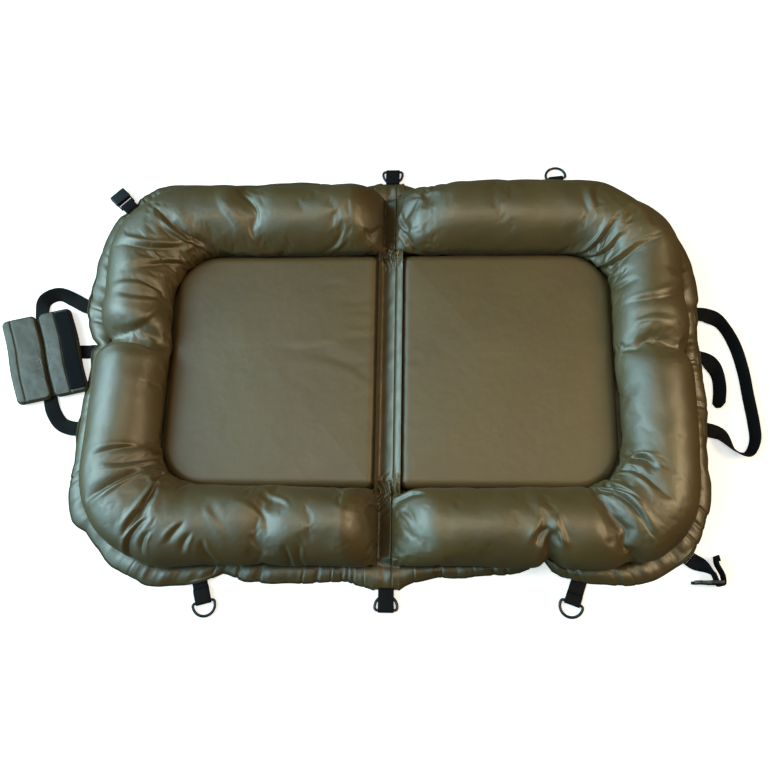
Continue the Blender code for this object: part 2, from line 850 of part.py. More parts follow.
def left_handle_route():
    """From the rear seat out, round under the wrap's spine and back to the front seat."""
    args = (-1, LEFT_HANDLE_REACH, LEFT_FRONT_Y, LEFT_REAR_Y, LEFT_HANDLE_LEAN)
    layer = STRAP_LAYER - WEB / 2
    under = []
    for share in under_wrap_shares:
        place = wrap_frame() @ Vector((0, share * WRAP_LENGTH, 0))
        under.append((place.x, place.y, layer, 0))
    return route(left_rear_shares, *args) + under + route(left_front_shares, *args)


def right_handle_route():
    """From the rear seat out and round, leaning on its edge, to the front seat."""
    return route(
        right_handle_shares, 1, RIGHT_HANDLE_REACH, RIGHT_FRONT_Y, RIGHT_REAR_Y, RIGHT_HANDLE_LEAN
    )


def tail_route():
    """The loose strap end at the middle of the right side."""
    return route(tail_shares, 1, TAIL_REACH, TAIL_Y, TAIL_Y - TAIL_LENGTH, TAIL_LEAN)


def mid_strap_line():
    """The strap at the middle of the left side, laid flat under the grip wrap."""
    edge = -SKIRT_REACH_X
    end = WRAP_PLACE_X
    return [
        Vector((edge + TAB_SEAT, MID_STRAP_Y, ON_BINDING)),
        Vector((edge - LIP, MID_STRAP_Y, ON_BINDING)),
        Vector((edge - LOOP_LEAD, MID_STRAP_Y, GROUND_WEB)),
        Vector((end, MID_STRAP_Y, GROUND_WEB)),
    ]


def corner_point(side_x, side_y, out):
    """A point on the skirt's corner diagonal, this far out from its edge."""
    reach = SKIRT_CORNER + out
    step = reach * math.sqrt(0.5)
    x = SKIRT_REACH_X - SKIRT_CORNER + step
    y = SKIRT_REACH_Y - SKIRT_CORNER + step
    return Vector((side_x * x, side_y * y, 0))


def hem(end, along, off):
    """A strap end folded back on itself: the turn, then a short return."""
    radius = (WEB + GAP) / 2
    middle = end + off * radius
    line = []
    for k in range(1, HEM_STEPS + 1):
        turn = math.pi * k / HEM_STEPS
        line.append(middle + (along * math.sin(turn) - off * math.cos(turn)) * radius)
    return line + [line[-1] - along * HEM]


def strap_line(bar):
    """The buckle strap's centres and half-widths, from the corner on to its edge and round the bar."""
    across = Vector((1, 1, 0)).normalized() * WEB_WIDTH / 2
    upright = Vector((0, 0, WEB_WIDTH / 2))
    root = corner_point(1, -1, HINGE_OUT)
    root.z = ON_BINDING
    bend = bar + Vector((-STRAP_BEND_X, STRAP_BEND_Y, 0))
    centres, halves = [], []
    for k in range(TWIST_STEPS + 1):
        share = k / TWIST_STEPS
        ease = share * share * (3 - 2 * share)
        point = root.lerp(bend, share)
        point.z = root.z + (bar.z - root.z) * math.sin(math.pi / 2 * ease)
        turn = math.pi / 2 * ease
        centres.append(point)
        halves.append(across * math.cos(turn) + upright * math.sin(turn))
    for k in range(LOOP_STEPS + 1):
        turn = STRAP_ENTER + (STRAP_LEAVE - STRAP_ENTER) * k / LOOP_STEPS
        centres.append(bar + Vector((math.cos(turn), math.sin(turn), 0)) * BUCKLE_LOOP)
        halves.append(upright)
    sag = Vector((0, 0, WEB_WIDTH / 2 + GAP - bar.z))
    tip = bar + Vector((-STRAP_TAIL_X, STRAP_TAIL_Y, 0)) + sag
    last = centres[-1]
    for k in range(1, TWIST_STEPS + 1):
        centres.append(last.lerp(tip, k / TWIST_STEPS))
        halves.append(upright)
    along = (tip - last).normalized()
    along.z = 0
    turned_in = Vector((along.y, -along.x, 0))
    back = hem(tip, along, turned_in)
    return centres + back, halves + [upright] * len(back)


def plug_bar():
    """Where the plug's web bar stands: the plug lies on its edge beyond the front right corner."""
    return corner_point(1, -1, 0) + Vector((PLUG_OUT_X, -PLUG_OUT_Y, MALE_HEIGHT))


def plug_frame():
    """The plug's own frame, stood on its edge with its prongs towards -X."""
    turned = Matrix.Rotation(math.pi, 4, "Z") @ Matrix.Rotation(math.pi / 2, 4, "X")
    return Matrix.Translation(plug_bar()) @ turned


def ring_tab_and_ring(place, frame, length, lean, folded, web, plastic, half_body):
    """One D-ring with the tab that holds it, and its body, whose empty stands on its bar.

    At the fold the tab is sewn to the strip, where there is no binding, and its ring lies folded under it.
    """
    bar_out = length - RING_LOOP - WEB / 2
    seat_height, tuck = (ON_STRIP, LOOP_LEAD) if folded else (ON_BINDING, None)
    args = (bar_out, RING_HEIGHT, RING_LOOP, lean, web, half_body, seat_height, tuck)
    loop_tab(f"ring_tab_{place}", frame, *args)
    bar = frame @ Matrix.Translation((bar_out, 0, RING_HEIGHT))
    body = body_empty(f"ring_{place}", bar.translation.copy(), half_body)
    if folded:
        bar = bar @ Matrix.Rotation(math.pi, 4, "Z")
    d_ring(f"d_ring_{place}", bar @ Matrix.Rotation(RING_DROOP, 4, "Y"), plastic, body)


def bolstered_half(label, side, pinches, looks, carrier):
    """The sewn and stuffed pieces that each half has."""
    cloth, pad_cloth, tape, foam, beads = looks
    ground_sheet(f"ground_sheet_{label}", side, cloth, carrier)
    edge_binding(f"edge_binding_{label}", side, tape, carrier)
    bolster_cover(f"bolster_cover_{label}", side, pinches, cloth, carrier)
    bolster_fill(f"bolster_fill_{label}", side, pinches, beads, carrier)
    pad_cover(f"pad_cover_{label}", side, pad_cloth, carrier)
    pad_foam(f"pad_foam_{label}", side, foam, carrier)


def left_handle(web, cloth, hook, left):
    """The left handle: its seats on the skirt, its webbing, and the grip wrap with its flap."""
    edge = -SKIRT_REACH_X
    for name, y in (("rear", LEFT_REAR_Y), ("front", LEFT_FRONT_Y)):
        seat_tab(f"left_handle_seat_{name}", tab_frame(edge, y, math.pi), web, left)
    body = body_empty("left_handle", (edge - HINGE_OUT, 0, HINGE_HEIGHT), left)
    half = Vector((0, WEB_WIDTH / 2, 0))
    banked_ribbon("left_handle_web", left_handle_route(), -half, half, web, body)
    near = WRAP_VALLEY / 2
    wrap_panel("wrap_inner_panel", near, near + WRAP_INNER, cloth, body)
    spine = WRAP_SPINE_WIDTH / 2
    length = WRAP_LENGTH - 2 * TOUCH_STRIP_MARGIN
    wrap_strip("wrap_spine", -spine, spine, WRAP_SPINE_BASE, WRAP_SPINE, length, cloth, body)
    high = near + WRAP_INNER - TOUCH_STRIP_MARGIN
    low = high - TOUCH_STRIP_WIDTH
    wrap_strip("hook_strip", low, high, WRAP_TOP + GAP, TOUCH_STRIP, length, hook, body)
    flap = body_empty("wrap_flap", (WRAP_PLACE_X, WRAP_PLACE_Y, WRAP_TOP + GAP), body)
    wrap_panel("wrap_outer_panel", -near - WRAP_OUTER, -near, cloth, flap)
    low = -near - WRAP_OUTER + TOUCH_STRIP_MARGIN
    base = WRAP_BASE - GAP - TOUCH_STRIP
    wrap_strip("loop_strip", low, low + TOUCH_STRIP_WIDTH, base, TOUCH_STRIP, length, hook, flap)


def right_side_straps(web, right):
    """The right handle and the loose strap end between its seats."""
    edge = SKIRT_REACH_X
    seats = (
        ("right_handle_seat_rear", RIGHT_REAR_Y),
        ("right_handle_seat_front", RIGHT_FRONT_Y),
        ("right_tail_seat", TAIL_Y),
    )
    for name, y in seats:
        seat_tab(name, tab_frame(edge, y, 0), web, right)
    half = Vector((0, WEB_WIDTH / 2, 0))
    place = (edge + HINGE_OUT, 0, HINGE_HEIGHT)
    handle = body_empty("right_handle", place, right)
    banked_ribbon("right_handle_web", right_handle_route(), half, -half, web, handle)
    tail = body_empty("right_tail", place, right)
    banked_ribbon("right_tail_web", tail_route(), half, None, web, tail)


def socket_side(web, plastic, left):
    """The buckle's socket half on its tab at the rear left corner."""
    frame = tab_frame(*corner_point(-1, 1, 0).xy, math.radians(135))
    loop_tab("buckle_socket_tab", frame, FEMALE_TAB, FEMALE_HEIGHT, BUCKLE_LOOP, 0, web, left)
    bar = frame @ Matrix.Translation((FEMALE_TAB, 0, FEMALE_HEIGHT))
    body = body_empty("buckle_socket", bar.translation.copy(), left)
    buckle_female(bar, plastic, body)


def plug_side(web, plastic, right):
    """The buckle's plug half on its strap at the front right corner."""
    corner = corner_point(1, -1, 0)
    seat_tab("buckle_strap_seat", tab_frame(*corner.xy, math.radians(-45)), web, right)
    hinge = corner_point(1, -1, HINGE_OUT)
    hinge.z = HINGE_HEIGHT
    strap = body_empty("buckle_strap", hinge, right)
    centres, halves = strap_line(plug_bar())
    ribbon("buckle_strap_web", centres, halves, web, strap)
    plug = body_empty("buckle_plug", plug_bar(), strap)
    buckle_male(plug_frame(), plastic, plug)


def main():
    cloth = material("coated_nylon", (0.14, 0.13, 0.085), 0.45)
    pad_cloth = material("pad_nylon", (0.13, 0.11, 0.07), 0.5)
    tape = material("binding_tape", (0.02, 0.022, 0.018), 0.75)
    web = material("black_webbing", (0.012, 0.012, 0.013), 0.8)
    plastic = material("black_plastic", (0.015, 0.017, 0.022), 0.35)
    foam = material("foam", (0.55, 0.55, 0.5), 0.95)
    beads = material("polystyrene_beads", (0.85, 0.85, 0.85), 0.9)
    hook = material("hook_and_loop", (0.012, 0.013, 0.015), 0.95)

    right = body_empty("right_half", (0, 0, 0))
    left = body_empty("left_half", (0, 0, FOLD_HEIGHT))
    looks = (cloth, pad_cloth, tape, foam, beads)
    bolstered_half("right", 1, right_pinch_shares, looks, right)
    bolstered_half("left", -1, left_pinch_shares, looks, left)
    fold_strip(cloth, right)

    front, rear = -math.pi / 2, math.pi / 2
    rings = (
        ("front_left", -RING_PLACE_X, front, TAB_FRONT_LEFT, LEAN_FRONT_LEFT, False, left),
        ("front_right", RING_PLACE_X, front, TAB_FRONT_RIGHT, LEAN_FRONT_RIGHT, False, right),
        ("rear_right", RING_PLACE_X, rear, TAB_REAR_RIGHT, LEAN_REAR_RIGHT, False, right),
        ("centre_front", 0, front, TAB_CENTRE_FRONT, 0, True, right),
        ("centre_rear", 0, rear, TAB_CENTRE_REAR, 0, True, right),
    )
    for place, x, heading, length, lean, folded, carrier in rings:
        frame = tab_frame(x, math.copysign(SKIRT_REACH_Y, heading), heading + lean)
        ring_tab_and_ring(place, frame, length, lean, folded, web, plastic, carrier)

    left_handle(web, pad_cloth, hook, left)
    ribbon("mid_strap_left", mid_strap_line(), [Vector((0, WEB_WIDTH / 2, 0))] * 4, web, left)
    right_side_straps(web, right)
    socket_side(web, plastic, left)
    plug_side(web, plastic, right)


main()
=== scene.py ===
"""Looks of the unhooking mat: stuffed bolsters, pads, gathered skirt, fold gutter, webbing, rings,
buckle and grip wrap.

Metres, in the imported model's frame: +X to the right half, +Y to the rear, +Z up.
"""

import math

import bpy
import bmesh
import numpy as np
from mathutils import Matrix, Vector, noise


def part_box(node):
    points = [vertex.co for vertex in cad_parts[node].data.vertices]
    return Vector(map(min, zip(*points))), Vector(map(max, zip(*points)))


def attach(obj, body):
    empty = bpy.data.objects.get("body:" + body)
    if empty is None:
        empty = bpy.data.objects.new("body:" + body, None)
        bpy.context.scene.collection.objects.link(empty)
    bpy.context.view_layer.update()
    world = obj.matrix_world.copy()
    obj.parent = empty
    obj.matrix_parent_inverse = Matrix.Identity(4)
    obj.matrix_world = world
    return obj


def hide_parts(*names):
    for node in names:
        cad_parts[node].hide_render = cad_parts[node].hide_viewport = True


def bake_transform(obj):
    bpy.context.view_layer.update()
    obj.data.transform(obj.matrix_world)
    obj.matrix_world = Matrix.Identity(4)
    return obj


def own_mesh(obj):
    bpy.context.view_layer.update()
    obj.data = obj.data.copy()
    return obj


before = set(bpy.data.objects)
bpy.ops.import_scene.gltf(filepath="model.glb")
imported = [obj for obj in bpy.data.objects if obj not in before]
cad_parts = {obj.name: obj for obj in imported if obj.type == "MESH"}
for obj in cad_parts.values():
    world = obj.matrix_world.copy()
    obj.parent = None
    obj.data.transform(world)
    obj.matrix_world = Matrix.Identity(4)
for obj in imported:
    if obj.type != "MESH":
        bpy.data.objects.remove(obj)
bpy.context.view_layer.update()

# Sizes read from the frame
OUT_X, OUT_Y, BOLSTER_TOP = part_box("bolster_cover_right")[1]
SKIRT_X, SKIRT_Y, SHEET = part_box("ground_sheet_right")[1]
FOLD_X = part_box("pad_cover_right")[0].x
PAD_X, PAD_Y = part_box("pad_cover_right")[1].xy

MILLI = 0.001
TINY = 1e-6
NO_LENGTH = 1e-9
FAR = 1e6
UP = np.array((0, 0, 1))
NOISE_STEPS = (17.3, 5.1, 9.7)

# Bolsters
GROOVE = 0.003
INNER_TUCK = 0.06
OUTER_TUCK = 0.30
BULGE_X = 0.004
BULGE_Y = 0.008
RIGHT_END_X = 0.0085
LEFT_END_X = 0.0135
RIGHT_END = (0.060, 1, 0.42)
LEFT_END = (0.058, 1.75, 0.13)
PAD_CORNER = 0.070
BOLSTER_CORNER = 0.150
END_DRAW = 0.004
SLOPE_FROM = 0.6
SLOPE_OVER = 0.8
WIDEST_SHARE = 0.42
FLANK_TURN = 0.18
PINCH_RUN = 0.026
FLOOR = 0.0022
BOTTOM_STEPS = 6
PULL_SEEN_HEIGHT = 0.03
LUMP = 0.0024
bolster_lumps = ((LUMP, 13, 3), (0.0009, 34, 6))
EDGE_HELD = 0.08
right_pinch_shares = ((0.245, 0.20), (0.515, 0.16), (0.955, 0.10))
left_pinch_shares = ((0.12, 0.07), (0.53, 0.30), (0.84, 0.08))

# Cloth of the bolsters
GROWTH = 0.01
END_GROWTH = 0.45
PINCH_GROWTH = 0.40
FULL_PINCH = 0.16
CORNER_REACH_ROWS = 28
CORNER_SPREAD = 0.85
OUTER_GROWTH = 0.30
OUTER_FROM = 0.80
END_REACH_ROWS = 18
PINCH_REACH = 0.03
HOLD = 0.07
CLOTH_CAP = 0.010
CLOTH_FRAMES = 24
cloth_feel = {
    "quality": 5,
    "mass": 0.15,
    "air_damping": 2,
    "tension_stiffness": 20,
    "compression_stiffness": 20,
    "shear_stiffness": 8,
    "bending_stiffness": 0.55,
    "tension_damping": 8,
    "compression_damping": 8,
    "bending_damping": 0.5,
    "use_pressure": True,
    "uniform_pressure_force": 1.5,
    "vertex_group_mass": "pins",
    "pin_stiffness": 1.5,
    "vertex_group_shrink": "slack",
    "shrink_min": -0.11,
    "shrink_max": 0,
}

# Creases, the parts of their section in widths of the crease
CREASE_REACH = 0.05
CREASE_BOW = 0.10
BOW_MIX = 1.7
STEEP_MIX_X = 12.9
STEEP_MIX_Y = 7.3
CREASE_START = 0.6
CREASE_WIDENS = 0.6
TAPER_BEFORE = 0.12
TAPER_IN = 0.30
TAPER_PAST = 0.2
TAPER_OUT = 0.6
STEEP_POWER = 1.3
SLOW_WIDTH = 2.1
SLOW_POWER = 1.2
crease_ridges = ((0.42, 2, 1.1), (0.12, -4, 2))

# Pads
PAD_EDGE = 0.0335
PAD_WALL = 0.018
PAD_ROUND = 0.015
PAD_CROWN = 0.0045
NEAR_CROWN = 5
PAD_FOLD_CORNER = 0.014
PAD_ROUND_STEPS = 8
PAD_CROWN_STEPS = 40
PAD_SIDE_PARTS = 60
CROWN_REACH = 0.985
CUSHION_CORNER_STEPS = 10
pad_lumps = ((0.0008, 9, 11), (0.00025, 34, 15))

# Skirt
SKIRT_CORNER = 0.165
SHEET_THICK = 0.0011
SKIRT_ROLL = 0.0125
ROLL_POWER = 2.4
ROLL_LEAN = 0.9
STRAP_LIFT = 0.0062
STRAP_CLEAR = 0.08
STRAP_RISE = 0.22
STRAP_REACH = 0.020
UNDER_BOLSTER = 0.004
UNDER_REACH = 0.97 * (OUT_Y - UNDER_BOLSTER)
SKIRT_STEPS = 14
SKIRT_FINENESS = 2
under_shares = (0, 0.35, 0.7, 0.93)
CALM_RUN = 0.03
GATHER = 0.0040
GATHER_LEAST = 0.35
GATHER_MORE = 1.3
FINE_GATHER = 0.45
GATHER_IN = 0.5
DENT_IN = 0.7
ROLL_UNEVEN = 0.6
DENT = 0.0042
DENT_LINE = 0.16
EDGE_WAVER = 0.0016
GATHER_LOW = 0.3
DENT_LOW = 0.2
# Waves along the skirt: how many to the metre, then their place in the noise
GATHER_WAVES = (42, 3.1, 0.5)
FINE_GATHER_WAVES = (95, 7.7, 1.5)
FULLNESS_WAVES = (8, 2.3, 4.5)
ROLL_WAVES = (13, 5.3, 2.5)
DENT_LINES = (48, 6.1, 3.5)
DENT_WAVES = (10, 4.4, 7.5)
EDGE_WAVES = (30, 1.9, 8.5)
EDGE_SEEN_HEIGHT = 0.004
HEM_WIDTH = 0.0040
HEM_BEND = 0.0015
HEM_STEP = 0.001
HEM_START = 0.3
HEM_SIDE = 0.7
HEM_UNDER = 0.8
TAPE = 0.0006

# Webbing
WEB_WIDTH = 0.025
WEB = 0.0015
GAP = 0.0003

# The photograph's camera
CAMERA_PLACE = Vector((0.072, -0.473, 1.399))
CAMERA_TURNS = (math.radians(10.08), math.radians(18.08), math.radians(-9.55))
FRAME_PX = 770
FOCAL_PX = 860
SENSOR = 36

# Light
SKY_SIDE = Vector((-0.93, 0.03, 0.36))
SKY_STOPS = (
    (0.34, (0.050, 0.036, 0.020)),
    (0.62, (0.12, 0.15, 0.125)),
    (0.82, (0.90, 1.72, 2.02)),
    (1.00, (1.10, 2.12, 2.54)),
)
BACKDROP = (0.78, 0.90, 0.94)
FLOOR_BOUNCE = (0.09, 0.066, 0.04)
FLOOR_WHITE = (0.9, 0.9, 0.9)
FLOOR_GLOW = 0.55
FLOOR_REACH = 4
LAMPS = (
    ("left", (-1.4, 0.05, 0.9), (0, 0, 0), (1.0, 0.8), 12, (0.66, 0.92, 0.96)),
    ("overhead", (-0.05, -0.05, 1.8), (0, 0, 0), (0.9, 0.6), 6.6, (1.0, 0.84, 0.56)),
    ("right", (1.5, -0.1, 1.3), (0.1, 0, 0), (0.9, 0.7), 15, (1.0, 0.78, 0.46)),
)

# Steps of the fine meshes
RUN_STEPS = 104
RUN_CLOSER = 0.15
CORNER_STEPS = 76
SIDE_STEPS = 96
ARCH_STEPS = 60


def camera_matrix():
    first, tilt, last = CAMERA_TURNS
    turn = Matrix.Rotation(first, 4, "Z") @ Matrix.Rotation(tilt, 4, "X") @ Matrix.Rotation(last, 4, "Z")
    return Matrix.Translation(CAMERA_PLACE) @ turn


def to_pixels(points):
    """Where the photograph shows each point of a grid."""
    matrix = np.array(camera_matrix().inverted())
    seen = points @ matrix[:3, :3].T + matrix[:3, 3]
    half = FRAME_PX / 2
    x = half - FOCAL_PX * seen[..., 0] / seen[..., 2]
    y = half + FOCAL_PX * seen[..., 1] / seen[..., 2]
    return np.stack((x, y), axis=-1)


def on_plane(px, py, height):
    """The point at a height that the photograph shows at a pixel."""
    matrix = camera_matrix()
    half = FRAME_PX / 2
    ray = matrix.to_3x3() @ Vector(((px - half) / FOCAL_PX, (half - py) / FOCAL_PX, -1))
    return matrix.translation + ray * ((height - matrix.translation.z) / ray.z)


# Materials


def new_material(name):
    made = bpy.data.materials.new(name)
    made.use_nodes = True
    return made, made.node_tree, made.node_tree.nodes["Principled BSDF"]


def set_inputs(tree, node, inputs):
    """Gives each input its number or colour, or joins it to another node's output."""
    for name, value in inputs.items():
        if isinstance(value, bpy.types.NodeSocket):
            tree.links.new(value, node.inputs[name])
        else:
            node.inputs[name].default_value = value


def add_node(tree, kind, output, inputs, **settings):
    """Adds a node with its inputs and settings, and gives back one of its outputs."""
    made = tree.nodes.new(kind)
    for name, value in settings.items():
        setattr(made, name, value)
    set_inputs(tree, made, inputs)
    return made.outputs[output]


def coordinates(tree, *kinds):
    place = tree.nodes.new("ShaderNodeTexCoord")
    return [place.outputs[kind] for kind in kinds]


def noise_node(tree, coords, scale, detail):
    inputs = {"Scale": scale, "Detail": detail, "Vector": coords}
    return add_node(tree, "ShaderNodeTexNoise", "Fac", inputs)


def ramp(tree, factor, stops):
    made = tree.nodes.new("ShaderNodeValToRGB")
    elements = made.color_ramp.elements
    elements[0].position, elements[0].color = stops[0][0], (*stops[0][1], 1)
    elements[1].position, elements[1].color = stops[1][0], (*stops[1][1], 1)
    for place, colour in stops[2:]:
        elements.new(place).color = (*colour, 1)
    tree.links.new(factor, made.inputs["Fac"])
    return made.outputs["Color"]


def wave_node(tree, coords, per_metre, direction):
    """Bands across a direction, so many to the metre."""
    inputs = {"Scale": per_metre / 20 * math.tau, "Vector": coords}
    settings = {"wave_type": "BANDS", "bands_direction": direction}
    return add_node(tree, "ShaderNodeTexWave", "Fac", inputs, **settings)


def math_node(tree, operation, a, b):
    return add_node(tree, "ShaderNodeMath", "Value", {0: a, 1: b}, operation=operation)


def bump(tree, *heights):
    """Stacks bump nodes: each height is (factor, (depth, strength))."""
    below = {}
    for factor, (depth, strength) in heights:
        inputs = {"Height": factor, "Distance": depth, "Strength": strength, **below}
        below = {"Normal": add_node(tree, "ShaderNodeBump", "Normal", inputs)}
    return below["Normal"]


# Depth and strength of what the materials' bumps show
CRUMPLE_BUMP = (0.0016, 0.35)
WEAVE_BUMP = (0.0001, 0.35)
RIB_BUMP = (0.0004, 0.6)
GRAIN_BUMP = (0.00008, 0.4)
PILE_BUMP = (0.0012, 1)
THREADS_PER_METRE = 1100


def coated_cloth(name, light, dark, roughness, gloss):
    """Coated nylon: a fine plain weave under a satin coating, with soft blotches and faint crumples."""
    made, tree, shader = new_material(name)
    uv, solid = coordinates(tree, "UV", "Object")
    blotch = noise_node(tree, solid, scale=9, detail=4)
    uneven = noise_node(tree, solid, scale=40, detail=3)
    crumple = noise_node(tree, solid, scale=55, detail=4)
    warp = wave_node(tree, uv, THREADS_PER_METRE, "X")
    weft = wave_node(tree, uv, THREADS_PER_METRE, "Y")
    weave = math_node(tree, "MULTIPLY", warp, weft)
    spread = {"Value": uneven, "To Min": roughness - 0.05, "To Max": roughness + 0.06}
    inputs = {
        "Base Color": ramp(tree, blotch, ((0.35, dark), (0.68, light))),
        "Roughness": add_node(tree, "ShaderNodeMapRange", "Result", spread),
        "Normal": bump(tree, (crumple, CRUMPLE_BUMP), (weave, WEAVE_BUMP)),
        "IOR": 1.7,
        "Specular IOR Level": gloss,
        "Coat Weight": 0.06,
        "Coat Roughness": 0.42,
        "Sheen Weight": 0.03,
        "Sheen Roughness": 0.45,
    }
    set_inputs(tree, shader, inputs)
    return made


def webbing_look(name, colour, ribs):
    """Woven webbing: ribs on a slant across it, darker between them, with worn threads."""
    made, tree, shader = new_material(name)
    uv, solid = coordinates(tree, "UV", "Object")
    slant = wave_node(tree, uv, ribs, "DIAGONAL")
    cross = wave_node(tree, uv, 1.6 * ribs, "X")
    weave = math_node(tree, "MULTIPLY", math_node(tree, "ADD", slant, cross), 0.5)
    worn = noise_node(tree, solid, scale=90, detail=3)
    mixed = math_node(tree, "ADD", math_node(tree, "MULTIPLY", weave, 0.75), worn)
    low = tuple(0.40 * c for c in colour)
    inputs = {
        "Base Color": ramp(tree, mixed, ((0.35, low), (1.1, colour))),
        "Normal": bump(tree, (weave, RIB_BUMP)),
        "Roughness": 0.7,
        "Sheen Weight": 0.02,
        "Specular IOR Level": 0.18,
    }
    set_inputs(tree, shader, inputs)
    return made


def plastic_look(name, colour, roughness):
    """Moulded plastic with a faint grain and lighter scuffs."""
    made, tree, shader = new_material(name)
    solid, = coordinates(tree, "Object")
    grain = noise_node(tree, solid, scale=1600, detail=2)
    scuffs = noise_node(tree, solid, scale=120, detail=4)
    low = tuple(0.7 * c for c in colour)
    inputs = {
        "Base Color": ramp(tree, scuffs, ((0.3, low), (0.75, colour))),
        "Normal": bump(tree, (grain, GRAIN_BUMP)),
        "Roughness": roughness,
    }
    set_inputs(tree, shader, inputs)
    return made


def hook_look(name, colour):
    """The dense short pile of a touch strip."""
    made, tree, shader = new_material(name)
    solid, = coordinates(tree, "Object")
    pile = noise_node(tree, solid, scale=900, detail=2)
    low = tuple(0.3 * c for c in colour)
    inputs = {
        "Base Color": ramp(tree, pile, ((0.35, low), (0.7, colour))),
        "Normal": bump(tree, (pile, PILE_BUMP)),
        "Roughness": 0.9,
        "Sheen Weight": 0.04,
        "Specular IOR Level": 0.2,
    }
    set_inputs(tree, shader, inputs)
    return made


# Meshes from grids of points


def link(made):
    bpy.context.scene.collection.objects.link(made)
    return made


def lengths(points, axis=0):
    """How far along its line each point of a curve or grid lies."""
    steps = np.diff(points, axis=axis, prepend=points.take([0], axis=axis))
    return np.cumsum(np.linalg.norm(steps, axis=-1), axis=axis)


def grid_mesh(name, points, look, closed=False, caps=False):
    """A mesh through rows of points, with its UVs in metres: across, then along."""
    rows, across = points.shape[:2]
    index = np.arange(rows * across).reshape(rows, across)
    ahead = np.roll(index, -1, axis=1)
    last = across if closed else across - 1
    sides = (index[:-1, :last], ahead[:-1, :last], ahead[1:, :last], index[1:, :last])
    faces = np.stack(sides, axis=-1).reshape(-1, 4).tolist()
    if caps:
        faces += [index[0, ::-1].tolist(), index[-1].tolist()]
    mesh = bpy.data.meshes.new(name)
    mesh.from_pydata(points.reshape(-1, 3).tolist(), [], faces)
    along = np.broadcast_to(lengths(points).mean(axis=1, keepdims=True), index.shape)
    uvs = np.stack((lengths(points, 1), along), axis=-1).reshape(-1, 2)
    layer = mesh.uv_layers.new(name="UVMap")
    corner_vertex = np.empty(len(mesh.loops), int)
    mesh.loops.foreach_get("vertex_index", corner_vertex)
    layer.data.foreach_set("uv", uvs[corner_vertex].astype(np.float32).ravel())
    mesh.materials.append(look)
    mesh.shade_smooth()
    return link(bpy.data.objects.new(name, mesh))


def capped_mesh(name, points, look):
    """A closed mesh through rings of points, with a face at each end."""
    made = grid_mesh(name, points, look, closed=True, caps=True)
    face_out(made)
    return made


def tube(name, centres, out, radius, tall, place, look):
    """A tube round a ring of centres, this many times as tall as wide, and put in its place."""
    turns = np.arange(WIRE_SIDES) / WIRE_SIDES * math.tau
    level = np.column_stack((out, np.zeros(len(out))))
    wide = np.cos(turns)[None, :, None] * level[:, None]
    rows = centres[:, None] + radius * (wide + tall * np.sin(turns)[None, :, None] * UP)
    made = grid_mesh(name, place(np.concatenate((rows, rows[:1]))), look, closed=True)
    face_out(made, join=True)
    return made


def grid_normals(points):
    """Unit normals of a grid of points, on the upper side at the grid's middle."""
    normal = np.cross(np.gradient(points, axis=1), np.gradient(points, axis=0))
    normal /= np.maximum(np.linalg.norm(normal, axis=2, keepdims=True), NO_LENGTH)
    rows, across = points.shape[:2]
    return normal if normal[rows // 2, across // 2, 2] > 0 else -normal


def face_up(made):
    """Turns a mesh's faces so that most of it faces upwards."""
    if sum(p.normal.z * p.area for p in made.data.polygons) < 0:
        made.data.flip_normals()


def face_out(made, join=False):
    """Turns a closed mesh's faces outwards, and joins its last row to its first if asked to."""
    bm = bmesh.new()
    bm.from_mesh(made.data)
    if join:
        bmesh.ops.remove_doubles(bm, verts=bm.verts, dist=TINY)
    bmesh.ops.recalc_face_normals(bm, faces=bm.faces)
    bm.to_mesh(made.data)
    bm.free()


def perlin(points, scale, seed):
    """Smooth noise from about -1 to 1 at each point of a grid."""
    shift = Vector([seed * step for step in NOISE_STEPS])
    values = [noise.noise(Vector(p) + shift) for p in points.reshape(-1, 3) * scale]
    return np.array(values).reshape(points.shape[:-1])


def lumps(points, sizes, side=0):
    """Lumps of each size on a grid: depth, waves to the metre, and place in the noise."""
    return sum(depth * perlin(points, waves, seed + side) for depth, waves, seed in sizes)


def bell(away):
    return np.exp(-(away**2))


def units(vectors):
    return vectors / np.linalg.norm(vectors, axis=-1, keepdims=True)


def arc(x, y, radius, start, end, steps):
    """Points on an arc round a centre, from one angle to another."""
    turns = np.linspace(start, end, steps + 1)
    return np.column_stack((x + radius * np.cos(turns), y + radius * np.sin(turns)))


def ease(share):
    share = np.clip(share, 0, 1)
    return share * share * (3 - 2 * share)


def smooth_line(points, steps):
    """Points on a smooth curve through rows of numbers."""
    points = np.array(points, float)
    padded = np.concatenate((points[:1], points, points[-1:]))
    line = []
    t = np.arange(steps)[:, None] / steps
    for p0, p1, p2, p3 in zip(padded, padded[1:], padded[2:], padded[3:]):
        bend = (2 * p0 - 5 * p1 + 4 * p2 - p3) * t**2 + (3 * p1 - p0 - 3 * p2 + p3) * t**3
        line.append(0.5 * (2 * p1 + (p2 - p0) * t + bend))
    return np.concatenate(line + [points[-1:]])


# Plan curves


def c_curve(reach_x, reach_y, corner, side, start=FOLD_X, fine=1):
    """Plan points along one half's C, from the fold at the front round the end to the fold at the rear."""
    x, y = reach_x - corner, reach_y - corner
    shares = np.arange(fine * RUN_STEPS) / (fine * RUN_STEPS)
    shares = (1 - RUN_CLOSER) * shares + RUN_CLOSER * shares**2
    run = np.column_stack((start + (x - start) * shares, np.full(len(shares), -reach_y)))
    bend = arc(x, -y, corner, -math.pi / 2, 0, fine * CORNER_STEPS)[:-1]
    rise = np.linspace(-y, 0, fine * SIDE_STEPS // 2 + 1)
    end = np.column_stack((np.full(len(rise), reach_x), rise))
    half = np.concatenate((run, bend, end))
    return np.concatenate((half, half[-2::-1] * (1, -1))) * (side, 1)


# Bolsters: each crease runs from one pixel to another: x, y, x, y, depth in mm (a ridge is negative),
# and width in mm

